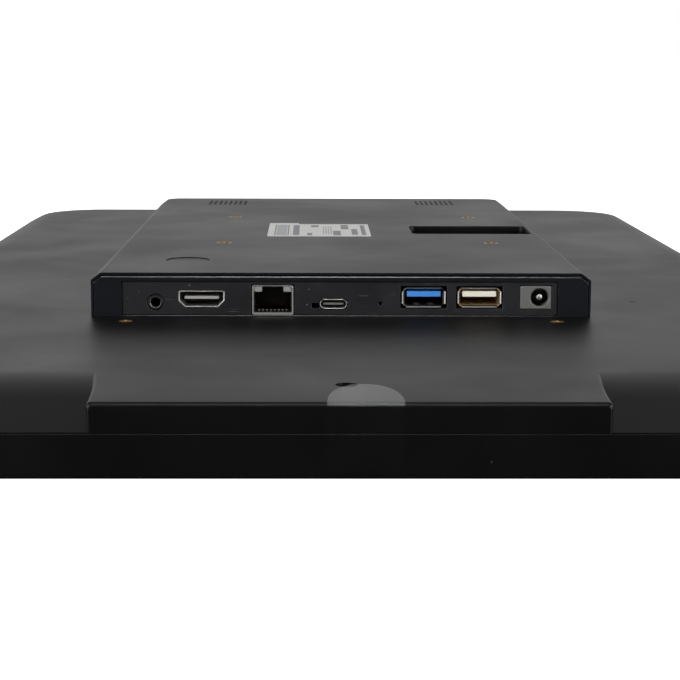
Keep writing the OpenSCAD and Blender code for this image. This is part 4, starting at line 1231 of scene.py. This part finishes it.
# ---- threaded inserts ----
# Brass inserts pressed into the box top and the back, flush with the plastic: thin bright rings
# round dark threaded bores.
GROOVES = 6
THREAD_PITCH = 0.7 * MM

# Turned brass: a soft yellow metal with fine lathe marks round it.
brass = coated("turned_brass", "#cca76a", 0.4, grain=0.15)


def insert(radius, bore, length):
    """One insert, its top at the origin, with a chamfered mouth and thread grooves, as a template."""
    low_end = radius - 0.3 * MM
    waist = radius - 0.6 * MM
    profile = [(bore, -length), (low_end, -length), (low_end, -length / 2 - 0.4 * MM),
               (waist, -length / 2 - 0.4 * MM), (waist, -length / 2 + 0.4 * MM),
               (radius, -length / 2 + 0.4 * MM), (radius, -0.1 * MM), (radius - 0.1 * MM, 0),
               (bore + 0.35 * MM, 0)]
    for i in range(GROOVES):
        z = -0.35 * MM - THREAD_PITCH * i
        profile += [(bore, z), (bore + 0.25 * MM, z - THREAD_PITCH / 2)]
    return turned("tool", profile, steps=40, closed=True)


vesa_mid = (vesa_low + vesa_high) / 2
vesa_width = vesa_points[2][0] - vesa_points[0][0]
vesa_length = vesa_points[1][1] - vesa_points[0][1]
vesa_inserts = repeat("wall_mount_inserts", insert(VESA_R, bore=2 * MM, length=6.5 * MM), 2, 2,
                      vesa_width, vesa_length, (vesa_mid.x, vesa_mid.y, box_top), brass)
finish(vesa_inserts, brass, "panel", "brass", "vesa_inserts")
lower_inserts = repeat("back_inserts", insert(INSERT_R, bore=1.5 * MM, length=6 * MM), 2, 1,
                       2 * insert_x, 0, (0, insert_y, back_z), brass)
finish(lower_inserts, brass, "panel", "brass", "lower_inserts")


# ---- pocket liner ----
# The deep black ABS tray behind the pocket in the box top, moulded with rounded inner corners.
# It hangs under the lid, with its open top round the lid's long hole.
pocket_floor = pocket_low.z + POCKET_WALL
liner_levels = [pocket_ring(POCKET_WALL - draw, z) for z, draw in (
    (pocket_low.z, 0.4 * MM), (pocket_low.z + 0.4 * MM, 0), (pocket_high.z, 0))]
liner_levels += [pocket_ring(-draw, z) for z, draw in (
    (pocket_high.z, 0), (pocket_floor + 0.8 * MM, 0), (pocket_floor + 0.2 * MM, 0.25 * MM),
    (pocket_floor, 0.9 * MM))]
# Coarsely textured ABS in the dark of the pocket: almost no shine at all.
pocket_black = moulded("black_ABS_pocket", "#020202", 0.7, grain=0.4, marks=0)
pocket_black.node_tree.nodes["Principled BSDF"].inputs["Specular IOR Level"].default_value = 0.1
finish(build("pocket_tray", liner_levels), pocket_black, "panel", "black_abs", "pocket_liner")


# ---- rating label ----
# A pale film label stuck on the box top. Its print is a generic stand-in: grey blocks and bars in
# the places of the printed matter, with no lettering.
label_low, label_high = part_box("rating_label")
FILM = 0.1 * MM
INK = 0.012 * MM
TAB_X = 12 * MM
TAB_Y = 4 * MM
label_y = label_high.y - TAB_Y


def label_outline(z):
    """The label's edge, anticlockwise, with its raised corner."""
    x0, x1, y0, y1 = label_low.x, label_high.x, label_low.y, label_high.y
    corners = [(x0, y0), (x1, y0), (x1, label_y), (x0 + TAB_X, label_y), (x0 + TAB_X, y1), (x0, y1)]
    return [(x, y, z) for x, y in soften(corners, 0.8 * MM)]


# Matt polyester film, and the ink printed on it: a pale grey sheet with flat darker patches.
label_film = moulded("matt_polyester_label", "#c0c0bd", 0.55, grain=0.5, depth=0.006, marks=0)
label_ink = moulded("grey_label_ink", "#6a6b71", 0.5, grain=0.5, depth=0.004, marks=0)
pale_ink = moulded("pale_label_ink", "#939498", 0.5, grain=0.5, depth=0.004, marks=0)
label = build("rating_label_film", [label_outline(box_top), label_outline(box_top + FILM)])


def print_block(x, width, y, length):
    """A printed patch, placed from the label's lower left corner, in mm."""
    x0 = label_low.x + x * MM
    y0 = label_low.y + y * MM
    return block(x0, x0 + width * MM, y0, y0 + length * MM, box_top + FILM, box_top + FILM + INK)


# Each patch's left edge and width, then its lower edge and length.
dark_print = [print_block(x, w, y, l) for x, w, y, l in (
    (2.6, 5.7, 3, 1), (2.6, 5.7, 42, 1), (2.6, 0.5, 4, 38), (7.8, 0.5, 4, 38), (9.9, 2.5, 4, 38),
    (17, 3, 34, 8), (15.5, 2, 3, 9), (25.7, 3, 3, 17), (29, 3, 26, 17), (33, 2.4, 5, 22),
    (36.8, 1.8, 4, 38))]
BAR_HALF = (0.25 * MM, 15 * MM)
bar = block(-BAR_HALF[0], BAR_HALF[0], -BAR_HALF[1], BAR_HALF[1], 0, INK)
bars_middle = (label_low.x + 23.5 * MM, label_low.y + 22 * MM, box_top + FILM)
bars = repeat("tool", bar, 4, 1, 3 * MM, 0, bars_middle, pale_ink)
panel_print = print_block(3.4, 4.1, 4.6, 36.8)
inks = [pale_ink, pale_ink] + [label_ink] * len(dark_print)
finish(join(label, bars, panel_print, *dark_print), [label_film, *inks], "panel", "label_film",
       "rating_label")


# ---- glass and films ----
# Chemically strengthened glass, printed black round the display, under a clear protective film.
# The film's pull tab folds up over the near edge and lies on the chin.
def slab(name, node, radius, edge):
    """A rounded sheet with softened edges, as big as its CAD node."""
    low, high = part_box(node)
    stations = [(low.z, edge), (low.z + edge * 0.3, edge * 0.3), (low.z + edge, 0), (high.z - edge, 0),
                (high.z - edge * 0.3, edge * 0.3), (high.z, edge)]
    return build(name, [ring((high.x - draw, high.y - draw), radius - draw, z) for z, draw in stations])


# Polished glass, faintly smeared in 60 mm sweeps: the printed border is jet black, and the dark
# display behind it a shade bluer.
glass_black, tree, shader, place = start("black_bordered_glass")
where = add(tree, "ShaderNodeSeparateXYZ", {"Vector": place})
cell_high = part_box("lcd_cell")[1]
within = []
for axis, reach in (("X", cell_high.x - 2 * MM), ("Y", cell_high.y - 2 * MM)):
    far_off = add(tree, "ShaderNodeMath", {0: where.outputs[axis]}, operation="ABSOLUTE")
    within.append(add(tree, "ShaderNodeMath", {0: far_off.outputs["Value"], 1: reach}, operation="LESS_THAN"))
screen_area = add(tree, "ShaderNodeMath", {0: within[0].outputs["Value"], 1: within[1].outputs["Value"]},
                  operation="MULTIPLY")
smear = noise(tree, place, 60 * MM, 6, distortion=0.6)
shade = blend(tree, screen_area.outputs["Value"], linear("#060606"), linear("#101114"))
gloss = remap(tree, smear, onto=(0.02, 0.09))
wire(tree, shader, shade, gloss)
shader.inputs["IOR"].default_value = 1.51
finish(slab("cover_glass_sheet", "cover_glass", 15 * MM, 0.25 * MM), glass_black, "panel", "black_glass",
       "cover_glass")

# Clear polyester film, with 12 mm clouds and ripples 7 mm apart: nearly invisible where it lies low,
# and a pale hazy veil near the height of the chin's top, partly haze and partly a painted reflection of the
# bright room, kept off the near face.
clear_film, tree, shader, place = start("clear_polyester_film")
haze = noise(tree, place, 12 * MM, 5)
gloss = remap(tree, haze, onto=(0.12, 0.3))
rise = add(tree, "ShaderNodeSeparateXYZ", {"Vector": place}).outputs["Z"]
# Painted reflection: the pale veil only shows near the height of the chin's top.
painted_reflection_on_top = remap(tree, rise, (back_z - 1.5 * MM, back_z - 0.7 * MM), (0.0003, 0.07))
veil = add(tree, "ShaderNodeMath", {0: haze, 1: 0.5}, operation="ADD")
veil = add(tree, "ShaderNodeMath", {0: veil.outputs["Value"], 1: painted_reflection_on_top},
           operation="MULTIPLY")
ripple = noise(tree, place, 7 * MM, 1)
relief = bump(tree, ripple, 0.06 * MM)
tone = blend(tree, haze, linear("#dfe3e2"), linear("#f3f4f3"))
wire(tree, shader, tone, gloss, relief)
tree.links.new(veil.outputs["Value"], shader.inputs["Alpha"])
shader.inputs["IOR"].default_value = 1.5
finish(slab("screen_film_sheet", "screen_film", 14.5 * MM, 0.04 * MM), clear_film, "panel", "clear_film",
       "screen_film")

# The tab as a strip: its centre line goes from under the panel, up the near face and over the chin.
tab_low, tab_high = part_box("film_tab")
tab_mid = (tab_low.x + tab_high.x) / 2
tab_half = (tab_high.x - tab_low.x) / 2
TAB_THICK = 0.1 * MM
CLEAR = 0.02 * MM
TAB_BEND = 0.6 * MM
wrap = CHIN_ROUND + CLEAR + TAB_THICK / 2
tab_front = tab_low.y + TAB_THICK / 2
turn_y = shell_low.y + CHIN_ROUND
line = [(-half_l + 5.4 * MM, TAB_THICK / 2), (tab_front + TAB_BEND, TAB_THICK / 2)]
line += [(tab_front + TAB_BEND * (1 - math.sin(a)), TAB_THICK / 2 + TAB_BEND * (1 - math.cos(a)))
         for a in quarter]
climb_out = turn_y - wrap - tab_front
climb_up = chin_top(0) - CHIN_ROUND - frame_top - 0.5 * MM
line += [(tab_front + climb_out * t, frame_top + climb_up * t) for t in (0, 0.5, 1)]
line += [(turn_y - wrap * math.cos(a), chin_top(turn_y) - CHIN_ROUND + wrap * math.sin(a)) for a in quarter]
reach = tab_high.y - turn_y
line += [(turn_y + reach * t, chin_top(turn_y + reach * t) + wrap - CHIN_ROUND)
         for t in (0.15, 0.3, 0.4, 0.5, 0.6, 0.7, 0.78, 0.85, 0.9, 0.94, 0.97, 0.99, 1)]
sections = []
for here, (y, z) in enumerate(line):
    ahead = line[min(here + 1, len(line) - 1)]
    behind = line[max(here - 1, 0)]
    run = Vector((ahead[0] - behind[0], ahead[1] - behind[1])).normalized()
    lift = Vector((-run.y, run.x)) * (TAB_THICK / 2)
    fall = max(0, (y - turn_y) / reach)
    half = tab_half * max(0.06, math.sqrt(max(0, 1 - fall * fall)))
    side = [tab_mid + half * u / 6 for u in range(-6, 7)]
    under_side = [(x, y - lift.x, z - lift.y) for x in side]
    upper_side = [(x, y + lift.x, z + lift.y) for x in reversed(side)]
    sections.append(under_side + upper_side)
film_tab = build("film_pull_tab", sections)
finish(film_tab, clear_film, "panel", "clear_film", "film_tab")


# ---- parts inside ----
# The display stack, the boards, the speakers and the rest of the inside keep their solid shapes.
# Each gets the finish of what it is made of.
def laminate(name, colour, rough, grain, spread=0.25, metallic=0.0, stretch=(1, 1, 1)):
    """A sheet or moulded solid: blotches and fine grain, drawn out one way where it is rolled."""
    material, tree, shader, place = start(name)
    drawn = add(tree, "ShaderNodeMapping", {"Vector": place, "Scale": stretch})
    fine = noise(tree, drawn.outputs["Vector"], grain * MM, 4)
    darker = [c * (1 - spread) for c in linear(colour)[:3]]
    tone = blend(tree, fine, linear(colour), (*darker, 1))
    gloss = remap(tree, fine, onto=(rough - 0.08, rough + 0.08))
    relief = bump(tree, fine, 0.01 * MM)
    wire(tree, shader, tone, gloss, relief)
    shader.inputs["Metallic"].default_value = metallic
    return material


def circuit(name, mask):
    """Solder-masked board: tracks show as a slightly lighter grid of 3 mm cells under the mask."""
    material, tree, shader, place = start(name)
    cells = add(tree, "ShaderNodeTexVoronoi", {"Vector": place, "Scale": 1 / (3 * MM), "Randomness": 0.6},
                distance="CHEBYCHEV", feature="F1")
    track = remap(tree, cells.outputs["Distance"], (0.38, 0.46))
    lighter = [c * 1.9 for c in linear(mask)[:3]]
    tone = blend(tree, track, linear(mask), (*lighter, 1))
    relief = bump(tree, track, 0.03 * MM)
    wire(tree, shader, tone, relief=relief)
    shader.inputs["Roughness"].default_value = 0.3
    return material


# A wave texture of scale 1 repeats every this many units.
WAVE = 0.314


def striped(name, colour, gap, pitch):
    """Flat flexible cable: thin conductors side by side along it, seen through its film."""
    material, tree, shader, place = start(name)
    lines = add(tree, "ShaderNodeTexWave", {"Vector": place, "Scale": 1 / (pitch * MM) * WAVE,
                                           "Distortion": 0}, bands_direction="X")
    tone = blend(tree, lines.outputs["Fac"], linear(gap), linear(colour))
    tree.links.new(tone, shader.inputs["Base Color"])
    shader.inputs["Roughness"].default_value = 0.3
    return material


# What each hidden part is made of. Blotch and grain sizes are in mm, and conductors lie 1 mm apart.
rolled_steel = laminate("galvanised_steel_sheet", "#b3b4b3", 0.38, 4, metallic=1.0)
white_pet = laminate("white_PET_film", "#eeeeec", 0.5, 20, spread=0.06)
inside = {
    "glass_tape": laminate("black_PE_foam", "#141414", 0.9, 0.4),
    "touch_sensor": laminate("ITO_sensor_film", "#5d6264", 0.15, 25, spread=0.08),
    "lcd_cell": laminate("polarised_LCD_glass", "#0e0f12", 0.2, 30, spread=0.1),
    "diffuser_films": white_pet,
    "light_guide": laminate("PMMA_light_guide", "#d4dcda", 0.1, 15, spread=0.05),
    "reflector_sheet": laminate("silvered_PET_reflector", "#f2f2f0", 0.35, 30, spread=0.05),
    "led_strip": circuit("white_masked_LED_strip", "#b8b8b2"),
    "backlight_tray": rolled_steel,
    "tray_screws": blackened_steel,
    "cover_screws": blackened_steel,
    "board_screws": nickel,
    "mainboard": circuit("green_masked_FR4", "#0c3a22"),
    "timing_board": circuit("green_masked_FR4_timing", "#0d3f26"),
    "touch_board": circuit("blue_masked_FR4_touch", "#10274c"),
    "board_chips": laminate("black_epoxy_chips", "#131315", 0.55, 0.5),
    "heat_sink": laminate("black_anodised_aluminium", "#1a1a1b", 0.35, 0.6, metallic=0.8, stretch=(6, 1, 1)),
    "display_ribbon": striped("flat_flexible_cable", "#b9bcbe", "#e6e4dc", 1),
    "touch_ribbon": striped("polyimide_ribbon", "#b07a34", "#8a5a20", 1),
    "speakers": laminate("paper_cone_and_ABS_speaker", "#17171a", 0.6, 1.2),
    "wifi_antennas": circuit("black_masked_antenna", "#151517"),
    "microphone": laminate("rubber_booted_microphone", "#111111", 0.8, 0.6),
    "power_switch": laminate("glass_filled_PBT_switch", "#303033", 0.5, 0.6),
    "switch_plunger": laminate("red_POM_plunger", "#7c2a1e", 0.35, 0.6),
    "reset_switch": laminate("nickel_cased_switch", "#b0afab", 0.3, 0.8, metallic=1.0),
    "reset_plunger": laminate("black_POM_plunger", "#202022", 0.35, 0.6),
}
for node, material in inside.items():
    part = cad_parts[node]
    part.data.materials.clear()
    part.data.materials.append(material)
